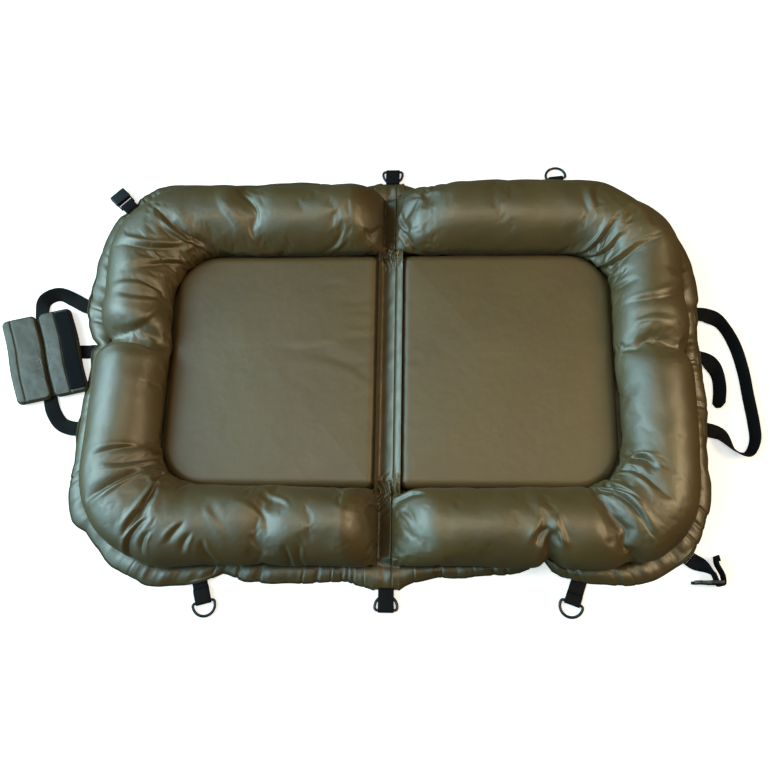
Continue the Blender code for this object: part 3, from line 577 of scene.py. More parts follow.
LEFT_CREASES_PX = (
    (164.6, 215.8, 204.1, 243.9, 7, 4.5),
    (160, 228, 195.2, 246.4, 4, 4),
    (121, 244.5, 178.7, 248.6, 6, 5.5),
    (126.3, 269.4, 182.4, 264.3, 5, 5),
    (116.1, 281, 160.4, 289, 4, 4),
    (119, 291.5, 156, 297.5, 3, 4),
    (213, 190, 232, 228, 1.6, 8),
    (236, 190, 258, 214, 1.6, 7),
    (123.8, 334, 166, 305, 4, 6),
    (98, 344, 150, 347, 8, 6),
    (90.8, 455.3, 133, 446.7, 4, 4.5),
    (95.9, 463, 153.3, 458.5, 4, 5),
    (89.4, 498.4, 139.2, 471, 7, 4),
    (125.3, 532, 155.3, 485.9, 8, 4.5),
    (131.7, 556.8, 146.2, 517.9, 6, 4),
    (141.5, 552, 148, 532, 4, 3.5),
    (167.6, 545, 182, 524, 4.5, 4),
    (182, 552, 190, 535, 4, 3.5),
    (202, 543, 214, 562, 4, 4.5),
    (208.4, 506.4, 232.2, 536.8, 1.8, 6),
    (236.5, 497.5, 262, 514.6, 2, 5),
    (257, 495.5, 288, 505, 1.8, 5),
    (324, 252, 341, 236, 4, 3.5),
    (331, 252, 347, 243, 3, 3.5),
    (364, 230, 378, 234, 3, 4),
    (352, 492, 378, 500, 4, 3.5),
    (362, 505, 380, 508, 3, 3.5),
    (300, 548, 306, 566, 3, 3.5),
    (286, 548, 290, 566, 2.5, 3.5),
)
RIGHT_CREASES_PX = (
    (584, 252, 614, 222.5, 7, 4),
    (589.3, 256.4, 622.7, 235.5, 6, 4),
    (600.8, 267.8, 642.9, 243.2, 6, 4.5),
    (608, 277.8, 684, 274, 6.5, 5),
    (612.8, 290.8, 634.4, 280, 4, 4),
    (631.4, 303.5, 684, 292, 4, 6),
    (636, 318, 672, 316, 3, 6),
    (580, 188, 590, 214, 2.4, 7),
    (596, 186, 598, 204, 2, 6),
    (632, 457, 655, 466.2, 4.5, 4),
    (624, 470, 662, 490, 5, 4.5),
    (606, 484, 634, 500, 5, 4.5),
    (602, 489.4, 650.5, 531, 7, 4.5),
    (635, 455, 650, 455, 3, 4),
    (632, 458, 658, 464, 3.5, 4.5),
    (536, 541, 548, 528, 7, 4.5),
    (548, 552, 552, 532, 8, 5),
    (560, 545, 557, 530, 5, 4),
    (528, 542, 541, 519, -4, 5),
    (566, 548, 556, 516, -4, 6),
    (406, 236, 416, 252, 4, 4),
    (402, 214, 410, 232, 2.5, 3.5),
    (396, 503, 424, 494, 5, 3.5),
    (404, 512, 416, 524, 2.5, 4),
)


def nearest_seen(points, normals, pixels, px, py):
    """The point of a grid that faces the camera and shows nearest to a pixel."""
    hidden = ((np.array(CAMERA_PLACE) - points) * normals).sum(axis=2) < 0
    away = (pixels[..., 0] - px) ** 2 + (pixels[..., 1] - py) ** 2 + hidden * FAR
    return points.reshape(-1, 3)[away.argmin()]


def crease_field(points, normals, creases):
    """How far each point of a grid lies over or under the surface, from the creases near it."""
    total = np.zeros(points.shape[:2])
    pixels = to_pixels(points)
    for x0, y0, x1, y1, depth, width in creases:
        a = nearest_seen(points, normals, pixels, x0, y0)
        b = nearest_seen(points, normals, pixels, x1, y1)
        if np.linalg.norm(a[:2]) > np.linalg.norm(b[:2]):
            a, b = b, a
        length = np.linalg.norm(b - a)
        unit = (b - a) / max(length, MILLI)
        near = bell(np.linalg.norm(points - (a + b) / 2, axis=2) / CREASE_REACH)
        up = (normals * near[..., None]).sum(axis=(0, 1))
        beside = np.cross(unit, up / np.linalg.norm(up))
        away = points - a
        along = (away @ unit) / length
        between = np.clip(along, 0, 1)
        bow = CREASE_BOW * length * np.sin(math.pi * between) * math.sin(x0 * BOW_MIX + y0)
        steep = 1 if math.sin(x0 * STEEP_MIX_X + y0 * STEEP_MIX_Y) > 0 else -1
        wide = width * MILLI * (CREASE_START + CREASE_WIDENS * between)
        aside = steep * (away @ beside - bow) / wide
        off = np.linalg.norm(away - along[..., None] * (b - a), axis=2)
        deep = np.clip(1 - off / CREASE_REACH, 0, 1)
        taper = ease((along + TAPER_BEFORE) / TAPER_IN) * ease((1 + TAPER_PAST - along) / TAPER_OUT)
        taper = taper * ease(deep * 2)
        steep_side = np.exp(-(np.abs(aside) ** STEEP_POWER))
        slow_side = np.exp(-((np.abs(aside) / SLOW_WIDTH) ** SLOW_POWER))
        valley = np.where(aside > 0, steep_side, slow_side)
        ridge = sum(high * bell((aside - at) / over) for high, at, over in crease_ridges)
        total += depth * MILLI * taper * (ridge - valley)
    return total


# Where the photograph shows a bolster's outer side drawn in, or swollen: x, y, depth and width in mm
LEFT_PULLS_PX = (
    (92, 290, 4, 75),
    (72, 480, -4, 60),
    (146, 200, 5, 55),
    (98, 344, 7, 12),
    (165, 583, -6, 40),
    (300, 186, 5, 80),
)
RIGHT_PULLS_PX = (
    (632, 203, 15, 62),
    (500, 180, -4, 110),
    (698, 290, 4, 50),
    (706, 480, 5, 60),
    (549, 556, 17, 14),
)


def drawn_in(outer, walk, pulls):
    """How far each point of a curve is drawn in by the pulls near it."""
    total = np.zeros(len(walk))
    for x, y, depth, width in pulls:
        place = walk_of(outer, walk, on_plane(x, y, PULL_SEEN_HEIGHT))
        total += depth * MILLI * bell((walk - place) / (width * MILLI))
    return total


def end_swell(from_end, power):
    """How full a tube is near its end: rounded, or with a flat slope where the power is 1."""
    if power > 1:
        return max(0, 1 - max(0, 1 - from_end) ** power) ** (1 / power)
    past = min(max(0, from_end - SLOPE_FROM), SLOPE_OVER)
    return min(from_end, SLOPE_FROM + SLOPE_OVER) - past * past / (2 * SLOPE_OVER)


def bolster_points(side, pinches, pulls):
    """Rows of points across a stuffed tube that lies on the sheet, along one half's C."""
    start = RIGHT_END_X if side > 0 else LEFT_END_X
    run, power, end_share = RIGHT_END if side > 0 else LEFT_END
    inner = c_curve(PAD_X + GROOVE, PAD_Y + GROOVE, PAD_CORNER + GROOVE, side, start)
    outer = c_curve(OUT_X + BULGE_X, OUT_Y + BULGE_Y, BOLSTER_CORNER, side, start)
    walk = lengths(outer)
    drawn = drawn_in(outer, walk, pulls)
    total = walk[-1]
    height = BOLSTER_TOP - FLOOR - LUMP
    lower = math.sin(math.pi * FLANK_TURN)
    turns = math.pi * (np.linspace(0, 1 + 2 * FLANK_TURN, ARCH_STEPS + 1) - FLANK_TURN)
    rise = np.sin(turns)
    under = np.where(turns < 0, INNER_TUCK, OUTER_TUCK)
    tuck = np.where(rise < 0, under * rise * rise, 0)
    part = (1 - np.cos(turns) * (1 - tuck)) / 2
    rows = []
    for a, b, gone, pull in zip(inner, outer, walk, drawn):
        across = (b - a) / np.linalg.norm(b - a)
        b = b - across * pull
        wide = np.linalg.norm(b - a)
        from_end = min(gone, total - gone) / run
        swell = end_swell(from_end, power)
        full = end_share + (1 - end_share) * swell
        kept = 1
        for place, depth in pinches:
            kept -= depth * bell((gone / total - place) * total / PINCH_RUN)
        draw = END_DRAW * (1 - swell)
        low = a + across * draw
        high = b - across * (draw + (1 - kept) * wide / 2)
        top = height * full * kept
        middle = height * full * WIDEST_SHARE
        z = np.where(rise > 0, middle + (top - middle) * rise, middle * (1 + rise / lower))
        rows.append(np.column_stack((low + np.outer(part, high - low), FLOOR + z)))
    return np.array(rows)


def cloth_growth(walk, pinches):
    """How much more cloth each point has than its surface: most at the inner side of the corners."""
    rows = len(walk)
    row = np.arange(rows)[:, None]
    first = RUN_STEPS + CORNER_STEPS / 2
    near = bell((row - first) / CORNER_REACH_ROWS) + bell((row - (rows - 1 - first)) / CORNER_REACH_ROWS)
    arch = np.linspace(0, 1, ARCH_STEPS + 1)[None, :]
    growth = GROWTH + (1 - GROWTH) * near * np.clip(1 - arch / CORNER_SPREAD, 0, 1)
    growth = growth + OUTER_GROWTH * near * np.clip((arch - OUTER_FROM) / (1 - OUTER_FROM), 0, 1)
    growth = growth + END_GROWTH * bell(np.minimum(row, rows - 1 - row) / END_REACH_ROWS)
    for place, depth in pinches:
        deep = min(1, depth / FULL_PINCH)
        near = bell((walk[:, None] / walk[-1] - place) / PINCH_REACH)
        growth = growth + PINCH_GROWTH * deep * near
    return np.clip(growth, 0, 1)


def with_underside(grid):
    """A grid with a few more columns that lead from its last column back to its first."""
    first, last = grid[:, :1], grid[:, -1:]
    steps = [last + (first - last) * n / (BOTTOM_STEPS + 1) for n in range(1, BOTTOM_STEPS + 1)]
    return np.concatenate([grid] + steps, axis=1)


def settle(made, growth, frames):
    """Lets the cloth find its wrinkles: more cloth than surface, held softly, under a little pressure."""
    mesh = made.data
    before = np.empty(len(mesh.vertices) * 3)
    mesh.vertices.foreach_get("co", before)
    pins = made.vertex_groups.new(name="pins")
    slack = made.vertex_groups.new(name="slack")
    hold = np.full(growth.shape, HOLD)
    hold[0] = hold[-1] = 1
    hold[:, 0] = 1
    hold[:, ARCH_STEPS:] = 1
    for index, (pin, grow) in enumerate(zip(hold.ravel(), growth.ravel())):
        pins.add([index], float(pin), "REPLACE")
        slack.add([index], float(1 - grow), "REPLACE")
    cloth = made.modifiers.new("cloth", "CLOTH")
    for name, value in cloth_feel.items():
        setattr(cloth.settings, name, value)
    cloth.settings.effector_weights.gravity = 0
    cloth.point_cache.frame_end = frames
    for number in range(1, frames + 1):
        bpy.context.scene.frame_set(number)
    after = np.empty(len(mesh.vertices) * 3)
    shown = made.evaluated_get(bpy.context.evaluated_depsgraph_get())
    shown.data.vertices.foreach_get("co", after)
    made.modifiers.remove(cloth)
    moved = (after - before).reshape(-1, 3)
    far = np.linalg.norm(moved, axis=1, keepdims=True)
    moved *= np.minimum(1, CLOTH_CAP / np.maximum(far, NO_LENGTH))
    mesh.vertices.foreach_set("co", before + moved.ravel())
    mesh.update()
    made.vertex_groups.clear()
    bpy.context.scene.frame_set(1)


def bolster(label, side, pinches, pulls, creases, look):
    points = bolster_points(side, pinches, pulls)
    normals = grid_normals(points)
    raised = crease_field(points, normals, creases) + lumps(points, bolster_lumps, side)
    edge = np.linspace(0, 1, ARCH_STEPS + 1)
    hold = np.clip(np.minimum(edge, 1 - edge) / EDGE_HELD, 0, 1)[None, :]
    points = points + normals * (raised * hold)[..., None]
    made = capped_mesh(f"bolster_{label}", with_underside(points), look)
    walk = lengths(c_curve(OUT_X, OUT_Y, BOLSTER_CORNER, side))
    settle(made, with_underside(cloth_growth(walk, pinches)), CLOTH_FRAMES)
    made.modifiers.new("finer", "SUBSURF")
    return made


# Pads


def rounded_ring(low_x, high_x, half_y, low_corner, high_corner, inset, parts):
    """Plan points round a rectangle with two corner radii, drawn in by inset, with its sides divided."""
    high, low = (high_x, high_corner), (low_x, low_corner)
    arcs = []
    for n, (sign, (x, radius)) in enumerate(((-1, high), (1, high), (1, low), (-1, low))):
        r = max(radius - inset, GAP)
        inward = -1 if x == high_x else 1
        start = (n - 1) * math.pi / 2
        place = (x + inward * (inset + r), sign * (half_y - inset - r))
        arcs.append(arc(*place, r, start, start + math.pi / 2, CUSHION_CORNER_STEPS))
    shares = np.arange(1, parts)[:, None] / parts
    ring = []
    for here, after in zip(arcs, arcs[1:] + arcs[:1]):
        ring += [here, here[-1] + (after[0] - here[-1]) * shares]
    return np.concatenate(ring)


def cushion_points(shape, base, wall, edge, rounding, crown, parts, crown_steps):
    """Rings up a cushion's wall, round its edge, and over its crown to a small ring in its middle."""
    profile = [(0, base), (0, (base + wall) / 2), (0, wall)]
    for k in range(1, PAD_ROUND_STEPS + 1):
        turn = math.pi / 2 * k / PAD_ROUND_STEPS
        profile.append((rounding * (1 - math.cos(turn)), wall + (edge - wall) * math.sin(turn)))
    rows = [np.insert(rounded_ring(*shape, inset, parts), 2, z, axis=1) for inset, z in profile]
    rim = rows[-1]
    middle = ((shape[0] + shape[1]) / 2, 0, edge)
    for k in range(1, crown_steps + 1):
        share = k / crown_steps * CROWN_REACH
        rows.append(rim + (middle - rim) * share + UP * crown * (1 - (1 - share) ** 2))
    return np.array(rows)


LEFT_PAD_CREASES_PX = (
    (326, 283, 344, 284, 0.8, 4),
    (340, 300, 377, 300, 0.9, 4),
    (346, 312, 377, 316, 0.8, 4),
    (350, 328, 377, 323, 0.8, 4),
    (344, 340, 377, 338, 1, 5),
    (272, 346, 330, 343, 1, 7),
    (300, 352, 372, 380, 1, 8),
    (352, 366, 377, 364, 0.8, 4),
    (350, 400, 377, 396, 0.7, 4),
)
RIGHT_PAD_CREASES_PX = (
    (402, 360, 422, 357, 0.8, 4),
    (402, 372, 416, 374, 0.6, 4),
    (402, 300, 414, 303, 0.6, 4),
    (402, 420, 418, 424, 0.6, 4),
)


def pad(label, side, creases, look):
    shape = (FOLD_X, PAD_X, PAD_Y, PAD_FOLD_CORNER, PAD_CORNER)
    heights = (SHEET + FLOOR, SHEET + PAD_WALL, SHEET + PAD_EDGE)
    points = cushion_points(shape, *heights, PAD_ROUND, PAD_CROWN, PAD_SIDE_PARTS, PAD_CROWN_STEPS)
    points = points * (side, side, 1)
    normals = grid_normals(points)
    if normals[-NEAR_CROWN, NEAR_CROWN, 2] < 0:
        normals = -normals
    raised = lumps(points, pad_lumps, side) + crease_field(points, normals, creases)
    return capped_mesh(f"pad_{label}", points + normals * raised[..., None], look)


# Skirt: where the photograph shows its edge, in pixels
LEFT_EDGE_PX = (
    (391, 590), (376, 590), (368, 588), (356, 585), (345, 582), (328, 582), (300, 583), (272, 583),
    (258, 582), (244, 581), (232, 577), (224, 574), (218, 573), (212, 577), (200, 582), (188, 585),
    (174, 586), (160, 587), (146, 585), (132, 578), (118, 570), (111, 566), (104, 559), (98, 549),
    (93, 543), (85, 531), (76, 525), (71, 519), (68, 507), (67, 495), (68, 483), (70, 471), (73, 459),
    (75, 447), (78, 423), (80, 411), (82, 399), (88, 380), (91, 362), (93, 352), (99, 344), (92, 338),
    (88, 327), (87, 315), (89, 303), (90, 291), (94, 279), (96, 267), (100, 255), (104, 243),
    (110, 231), (119, 217), (131, 204), (146, 194), (160, 187), (174, 184), (188, 184), (230, 185),
    (258, 185), (272, 183), (300, 182), (328, 183), (342, 185), (356, 189), (368, 186), (380, 183),
    (391, 183),
)
RIGHT_EDGE_PX = (
    (391, 590), (398, 589), (405, 586), (412, 583), (426, 580), (440, 577), (454, 578), (468, 578),
    (482, 576), (496, 574), (510, 574), (524, 572), (536, 568), (543, 560), (549, 555), (555, 560),
    (559, 570), (566, 576), (580, 580), (594, 583), (608, 584), (622, 586), (636, 585), (650, 581),
    (664, 575), (678, 566), (690, 556), (699, 543), (704, 531), (706, 519), (709, 513), (711, 503),
    (711, 483), (708, 471), (708, 459), (707, 447), (708, 423), (708, 411), (707, 399), (705, 387),
    (702, 369), (700, 351), (698, 339), (697, 327), (698, 315), (700, 303), (698, 291), (696, 279),
    (693, 267), (688, 255), (682, 243), (673, 231), (660, 219), (650, 212), (641, 207), (630, 201),
    (618, 195), (606, 190), (594, 186), (580, 184), (538, 182), (510, 181), (482, 181), (454, 183),
    (440, 184), (426, 187), (416, 188), (405, 185), (391, 183),
)
# Where a strap leaves the skirt, and how far past that the skirt's edge may reach: x, y, out in metres
LEFT_STRAPS = (
    (-0.525, 0.118, 0.018),
    (-0.525, -0.104, 0.009),
    (-0.525, 0.037, 0.001),
    (-0.2995, -0.359, 0.002),
    (-0.4767, 0.3107, 0.008),
)
RIGHT_STRAPS = (
    (0.525, 0.104, 0.001),
    (0.525, -0.102, -0.001),
    (0.525, 0.024, -0.001),
    (0.2995, -0.359, 0.002),
    (0.2995, 0.359, 0.002),
    (0.4767, -0.3107, -0.001),
)


def walk_of(outer, walk, place):
    """How far along a curve its point nearest to a place lies."""
    return walk[np.linalg.norm(outer - np.array(place)[:2], axis=1).argmin()]


def seen_outline(outer, walk, seen):
    """How far outside each point of a curve the photograph shows the edge."""
    along = np.gradient(outer, axis=0)
    out = units(np.stack((along[:, 1], -along[:, 0]), axis=1))
    out *= np.sign((out[len(out) // 2] @ outer[len(out) // 2]))
    found = []
    for x, y in seen:
        place = np.array(on_plane(x, y, EDGE_SEEN_HEIGHT))[:2]
        nearest = np.linalg.norm(outer - place, axis=1).argmin()
        found.append((walk[nearest], (place - outer[nearest]) @ out[nearest]))
    found = np.array(sorted(found))
    return np.interp(walk, found[:, 0], found[:, 1])


def kept_back(walk, offsets, places, limits):
    """An outline held back where straps leave it, so that they can swing up."""
    for place, limit in zip(places, limits):
        near = bell(((walk - place) / STRAP_REACH) ** 2)
        offsets = offsets - near * np.maximum(0, offsets - limit)
    return offsets


def waves(gone, side, kind):
    """Smooth noise along the skirt."""
    per_metre, row, place = kind
    return noise.noise(Vector((gone * per_metre, side * row, place)))


def skirt_points(side, seen, straps, pulls):
    """Rows across the ground sheet: under the half from the fold, then out over the gathered skirt."""
    reach = (OUT_X - UNDER_BOLSTER, OUT_Y - UNDER_BOLSTER)
    base = c_curve(*reach, BOLSTER_CORNER, side, fine=SKIRT_FINENESS)
    outer = c_curve(SKIRT_X, SKIRT_Y, SKIRT_CORNER, side, fine=SKIRT_FINENESS)
    walk = lengths(outer)
    base_walk = lengths(base)
    strap_walks = [walk_of(outer, walk, place) for place in straps]
    limits = [limit for x, y, limit in straps]
    offsets = kept_back(walk, seen_outline(outer, walk, seen), strap_walks, limits)
    drawn = drawn_in(base, base_walk, pulls)
    fold = FOLD_X * side
    rows = []
    for a, b, gone, offset, pull in zip(base, outer, walk, offsets, drawn):
        out = (b - a) / np.linalg.norm(b - a)
        edge = b + out * offset
        a = a - out * pull
        near = max(bell(((gone - place) / STRAP_REACH) ** 2) for place in strap_walks)
        gather = waves(gone, side, GATHER_WAVES) + FINE_GATHER * waves(gone, side, FINE_GATHER_WAVES)
        amount = GATHER * (GATHER_LEAST + GATHER_MORE * abs(waves(gone, side, FULLNESS_WAVES)))
        calm = float(ease(min(gone, walk[-1] - gone) / CALM_RUN))
        roll = SKIRT_ROLL * (1 + ROLL_UNEVEN * calm * waves(gone, side, ROLL_WAVES))
        line = abs(waves(gone, side, DENT_LINES)) / DENT_LINE
        dent = DENT * calm * max(0, 1 - line) * ease(0.5 + 2 * waves(gone, side, DENT_WAVES))
        edge = edge + out * (EDGE_WAVER * waves(gone, side, EDGE_WAVES) - 0.5 * dent)
        fold_y = UNDER_REACH * (2 * gone / walk[-1] - 1)
        at_fold = np.array((fold, fold_y))
        row = [(*(at_fold + (a - at_fold) * share), SHEET) for share in under_shares]
        for n in range(SKIRT_STEPS + 1):
            share = n / SKIRT_STEPS
            x, y = a + (edge - a) * share
            arch = 1 - abs(2 * share**ROLL_LEAN - 1) ** ROLL_POWER
            gathered = calm * amount * gather * ease(share / GATHER_IN)
            z = roll * arch + gathered * (GATHER_LOW + (1 - GATHER_LOW) * arch)
            z -= dent * ease(share / DENT_IN) * (DENT_LOW + (1 - DENT_LOW) * arch)
            z = max(z, STRAP_LIFT * near * ease((share - STRAP_CLEAR) / STRAP_RISE), GAP)
            row.append((x, y, SHEET + z))
        rows.append(row)
    return np.array(rows)


def skirt(label, side, seen, straps, pulls, look):
    points = skirt_points(side, seen, straps, pulls)
    made = grid_mesh(f"skirt_{label}", points, look)
    face_up(made)
    thick = made.modifiers.new("thick", "SOLIDIFY")
    thick.thickness = SHEET_THICK
    thick.offset = -1
    return made, points


def hem(label, skirt_rows, tape):
    """Binding folded over the skirt's edge: top flap, edge and under flap."""
    edge, inside = skirt_rows[:, -1], skirt_rows[:, -3]
    inward = units(inside - edge)
    over, under = TAPE * UP, -(SHEET_THICK + TAPE) * UP
    bulge = TAPE + SHEET_THICK / 2
    section = (
        (HEM_WIDTH, HEM_START, 0),
        (HEM_WIDTH - HEM_STEP, 1, 0),
        (HEM_BEND, 1, 0),
        (-HEM_SIDE * bulge, HEM_START, 0),
        (-bulge, 0.5, 0.5),
        (-HEM_SIDE * bulge, 0, HEM_UNDER),
        (HEM_BEND, 0, 1),
        (HEM_WIDTH, 0, 1),
    )
    rows = [edge + inward * away + above * over + below * under for away, above, below in section]
    rows = np.stack(rows, axis=1)
    rows[..., 2] = np.maximum(rows[..., 2], GAP)
    made = grid_mesh(f"hem_{label}", rows, tape)
    face_up(made)
    return made


# Fold gutter

# Across the gutter: x and z between the pads, then x and z at the gutter's ends
gutter_section = (
    (-0.0203, 0.0350, -0.0203, 0.0230),
    (-0.0194, 0.0320, -0.0194, 0.0205),
    (-0.0180, 0.0245, -0.0180, 0.0170),
    (-0.0162, 0.0180, -0.0162, 0.0142),
    (-0.0140, 0.0148, -0.0140, 0.0130),
    (-0.0105, 0.0152, -0.0105, 0.0136),
    (-0.0045, 0.0186, -0.0045, 0.0175),
    (0.0020, 0.0228, 0.0020, 0.0222),
    (0.0070, 0.0262, 0.0060, 0.0256),
    (0.0086, 0.0268, 0.0076, 0.0252),
    (0.0096, 0.0256, 0.0086, 0.0232),
    (0.0106, 0.0280, 0.0096, 0.0250),
    (0.0125, 0.0306, 0.0112, 0.0276),
    (0.0160, 0.0330, 0.0140, 0.0296),
    (0.0190, 0.0345, 0.0180, 0.0300),
    (0.0215, 0.0352, 0.0215, 0.0300),
)
SECTION_STEPS = 4
SEAM_X = 0.0086
SEAM_DIP = 0.0022
SEAM_WIDTH = 0.0013
GUTTER_STEPS = 420
GUTTER_FINE = 4000
GUTTER_OUT = 0.0065
SINK_FROM = 0.006
SINK_RUN = 0.020
MARGIN_FROM = 0.008
MARGIN_RUN = 0.014
HOLLOW_X = -0.004
HOLLOW_WIDTH = 0.006
HOLLOW_DEPTH = 0.20
HIGHEST = 1.06
CRUMPLE_RUN = 0.016
CRUMPLE_HEIGHT = 0.0085
CRUMPLE_SHIFT = 0.0040
CRUMPLE_FINE = 0.003
PLEAT_SPACING = 0.0105
PLEAT_LOW = 0.4
PLEAT_WANDER = 1.2
PLEAT_STRETCH = (0.6, 1, 0.4)
RIPPLE = 0.0009
CLOSER = 6
CLOSER_RUN = 1.6 * CRUMPLE_RUN
LOOSE_HEIGHT = 0.0016
LOOSE_RUN = 0.03
LOOSE_STRETCH = (1, 1.3, 1)
FAN_SPACING = 0.015
FAN_HEIGHT = 0.0018
FAN_RUN = 0.030
FAN_FROM = 0.008
FAN_SLANT = 0.9


def gutter_places():
    """Places along the gutter, closest together where it is crumpled."""
    fine = np.linspace(-SKIRT_Y - GUTTER_OUT, SKIRT_Y + GUTTER_OUT, GUTTER_FINE)
    weight = 1 + CLOSER * bell((np.abs(fine) - PAD_Y) / CLOSER_RUN)
    gone = np.cumsum(weight)
    return np.interp(np.linspace(gone[0], gone[-1], GUTTER_STEPS + 1), gone, fine)


def gutter_points():
    """Rows across the gutter: a channel between the pads, and a rolled edge like the skirt's at its ends."""
    section = smooth_line(gutter_section, SECTION_STEPS)
    rows = []
    for y in gutter_places():
        sunk = float(ease((abs(y) - PAD_Y + SINK_FROM) / SINK_RUN))
        past = (abs(y) - OUT_Y + UNDER_BOLSTER) / (SKIRT_Y + GUTTER_OUT - OUT_Y + UNDER_BOLSTER)
        margin = float(ease((abs(y) - OUT_Y + MARGIN_FROM) / MARGIN_RUN))
        arch = 1 - abs(2 * min(1, max(0, past)) ** ROLL_LEAN - 1) ** ROLL_POWER
        row = []
        for x, z in section[:, :2] * (1 - sunk) + section[:, 2:] * sunk:
            seam = SEAM_DIP * bell((x - SEAM_X) / SEAM_WIDTH)
            hollow = HOLLOW_DEPTH * bell((x - HOLLOW_X) / HOLLOW_WIDTH)
            roll = SKIRT_ROLL * arch * (HIGHEST - hollow) - seam * arch
            row.append((x, y, SHEET + z * (1 - margin) + roll * margin + GAP))
        rows.append(row)
    return np.array(rows)


def gutter(look):
    """The cloth channel between the halves, crumpled where the pads end and flat at the skirt's edge."""
    points = gutter_points()
    crumple = bell((np.abs(points[..., 1]) - PAD_Y) / CRUMPLE_RUN)
    wander = PLEAT_WANDER * perlin(points * PLEAT_STRETCH, scale=45, seed=31)
    bend = points[..., 0] / PLEAT_SPACING + wander
    pleat = 1 - 2 * np.abs(bend - np.floor(bend) - 0.5)
    small = 0.5 - np.abs(perlin(points, scale=150, seed=33))
    points[..., 2] += RIPPLE * perlin(points, scale=60, seed=21)
    points[..., 2] += CRUMPLE_HEIGHT * crumple * (pleat - PLEAT_LOW) + CRUMPLE_FINE * crumple * small
    points[..., 1] += CRUMPLE_SHIFT * crumple * perlin(points, scale=80, seed=41)
    loose = ease((np.abs(points[..., 1]) - PAD_Y) / LOOSE_RUN)
    points[..., 2] += LOOSE_HEIGHT * loose * perlin(points * LOOSE_STRETCH, scale=34, seed=51)
    past = np.abs(points[..., 1]) - PAD_Y - FAN_FROM
    slant = math.tau * (past + FAN_SLANT * points[..., 0]) / FAN_SPACING
    fans = np.sin(slant + 2 * perlin(points, scale=30, seed=57))
    points[..., 2] += FAN_HEIGHT * fans * bell(past / FAN_RUN) * (past > 0)
    points[..., 2] = np.maximum(points[..., 2], SHEET + GAP)
    made = grid_mesh("gutter", points, look)
    face_up(made)
    return made


# Webbing: the lines that the solids follow, with finer steps

BINDING = 0.0008
ON_BINDING = SHEET + GAP + BINDING + GAP + WEB / 2
ON_STRIP = SHEET + GAP + WEB / 2
LIP = GAP + BINDING
HINGE_OUT = LIP + GAP
GROUND_WEB = GAP + WEB / 2
TAB_SEAT = 0.022
SEAT_STEPS = 8
LEAD_STEPS = 6
LOOP_LEAD = 0.009
TAB_RISE = 0.006
LOOP_STEPS = 20
ROUTE_STEPS = 12
# Half of a band's section, in shares of its half-width and half-thickness
band_half_shares = (
    (-1.00, 0.0),
    (-0.98, 0.7),
    (-0.93, 1.0),
    (-0.50, 1.0),
    (0.00, 1.0),
    (0.50, 1.0),
    (0.93, 1.0),
    (0.98, 0.7),
)


def moved(points, matrix):
    """Points in the frame that a matrix gives."""
    turn = np.array(matrix)
    return np.array(points, float) @ turn[:3, :3].T + turn[:3, 3]


def band(name, centres, halves, look, thick=WEB):
    """Webbing with soft edges along a line of centres, with the half-width vector at each."""
    centres = np.array(centres, float)
    halves = np.broadcast_to(np.array(halves, float), centres.shape)
    up = units(np.cross(np.gradient(centres, axis=0), halves))
    half = np.array(band_half_shares)
    section = np.concatenate((half, -half))
    rows = centres[:, None] + section[None, :, :1] * halves[:, None]
    rows = rows + section[None, :, 1:] * (thick / 2) * up[:, None]
    return capped_mesh(name, rows, look)


def add(made, body, slot, *nodes):
    """Puts a piece on its body in place of its solids."""
    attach(made, body)
    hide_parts(*nodes)
    return made


def tab_frame(x, y, heading):
    """A tab's own frame: +X out from the skirt's edge."""
    return Matrix.Translation((x, y, 0)) @ Matrix.Rotation(heading, 4, "Z")


def corner_point(side_x, side_y, out):
    """A point on the skirt's corner diagonal, this far out from its edge."""
    step = (SKIRT_CORNER + out) * math.sqrt(0.5)
    return Vector((side_x * (SKIRT_X - SKIRT_CORNER + step), side_y * (SKIRT_Y - SKIRT_CORNER + step), 0))


def tab_band(name, matrix, line, body, look):
    """Webbing along a line in a tab's own frame."""
    half = matrix.to_3x3() @ Vector((0, WEB_WIDTH / 2, 0))
    add(band(name, moved(line, matrix), half, look), body, "black_webbing", name)


def seat(name, matrix, body, look):
    """The sewn-down end of a strap, under the skirt's edge."""
    line = [(x, 0, ON_BINDING) for x in np.linspace(-TAB_SEAT, LIP, SEAT_STEPS)]
    tab_band(name, matrix, line, body, look)


tuck_shares = (0.33, 0.67, 1)


def loop_points(seat_height, bar_out, bar_height, radius, clear_out, tuck):
    """A tab's centreline from the skirt, out over the bar, round it and back underneath."""
    over = bar_height + radius
    start = bar_out - LOOP_LEAD / 2
    rise = min(TAB_RISE, (start - clear_out) / 2)
    lead = [(-TAB_SEAT, seat_height), (clear_out, seat_height)]
    lead += [(clear_out + rise, min(over, seat_height + rise)), (start, over)]
    round_bar = arc(bar_out, bar_height, radius, math.pi / 2, -math.pi / 2, LOOP_STEPS)
    back = [(bar_out - tuck * share, bar_height - radius) for share in tuck_shares]
    return np.insert(np.concatenate((smooth_line(lead, LEAD_STEPS), round_bar, back)), 1, 0, axis=1)


def loop_tab(name, matrix, bar_out, bar_height, radius, lean, body, look, seat_height, tuck=None):
    clear_out = HINGE_OUT + WEB_WIDTH / 2 * math.tan(abs(lean)) + GAP
    tuck = bar_out - clear_out if tuck is None else tuck
    line = loop_points(seat_height, bar_out, bar_height, radius, clear_out, tuck)
    tab_band(name, matrix, line, body, look)


# Routes in shares of a strap's reach and of the way between its ends: out, along, seated, lean

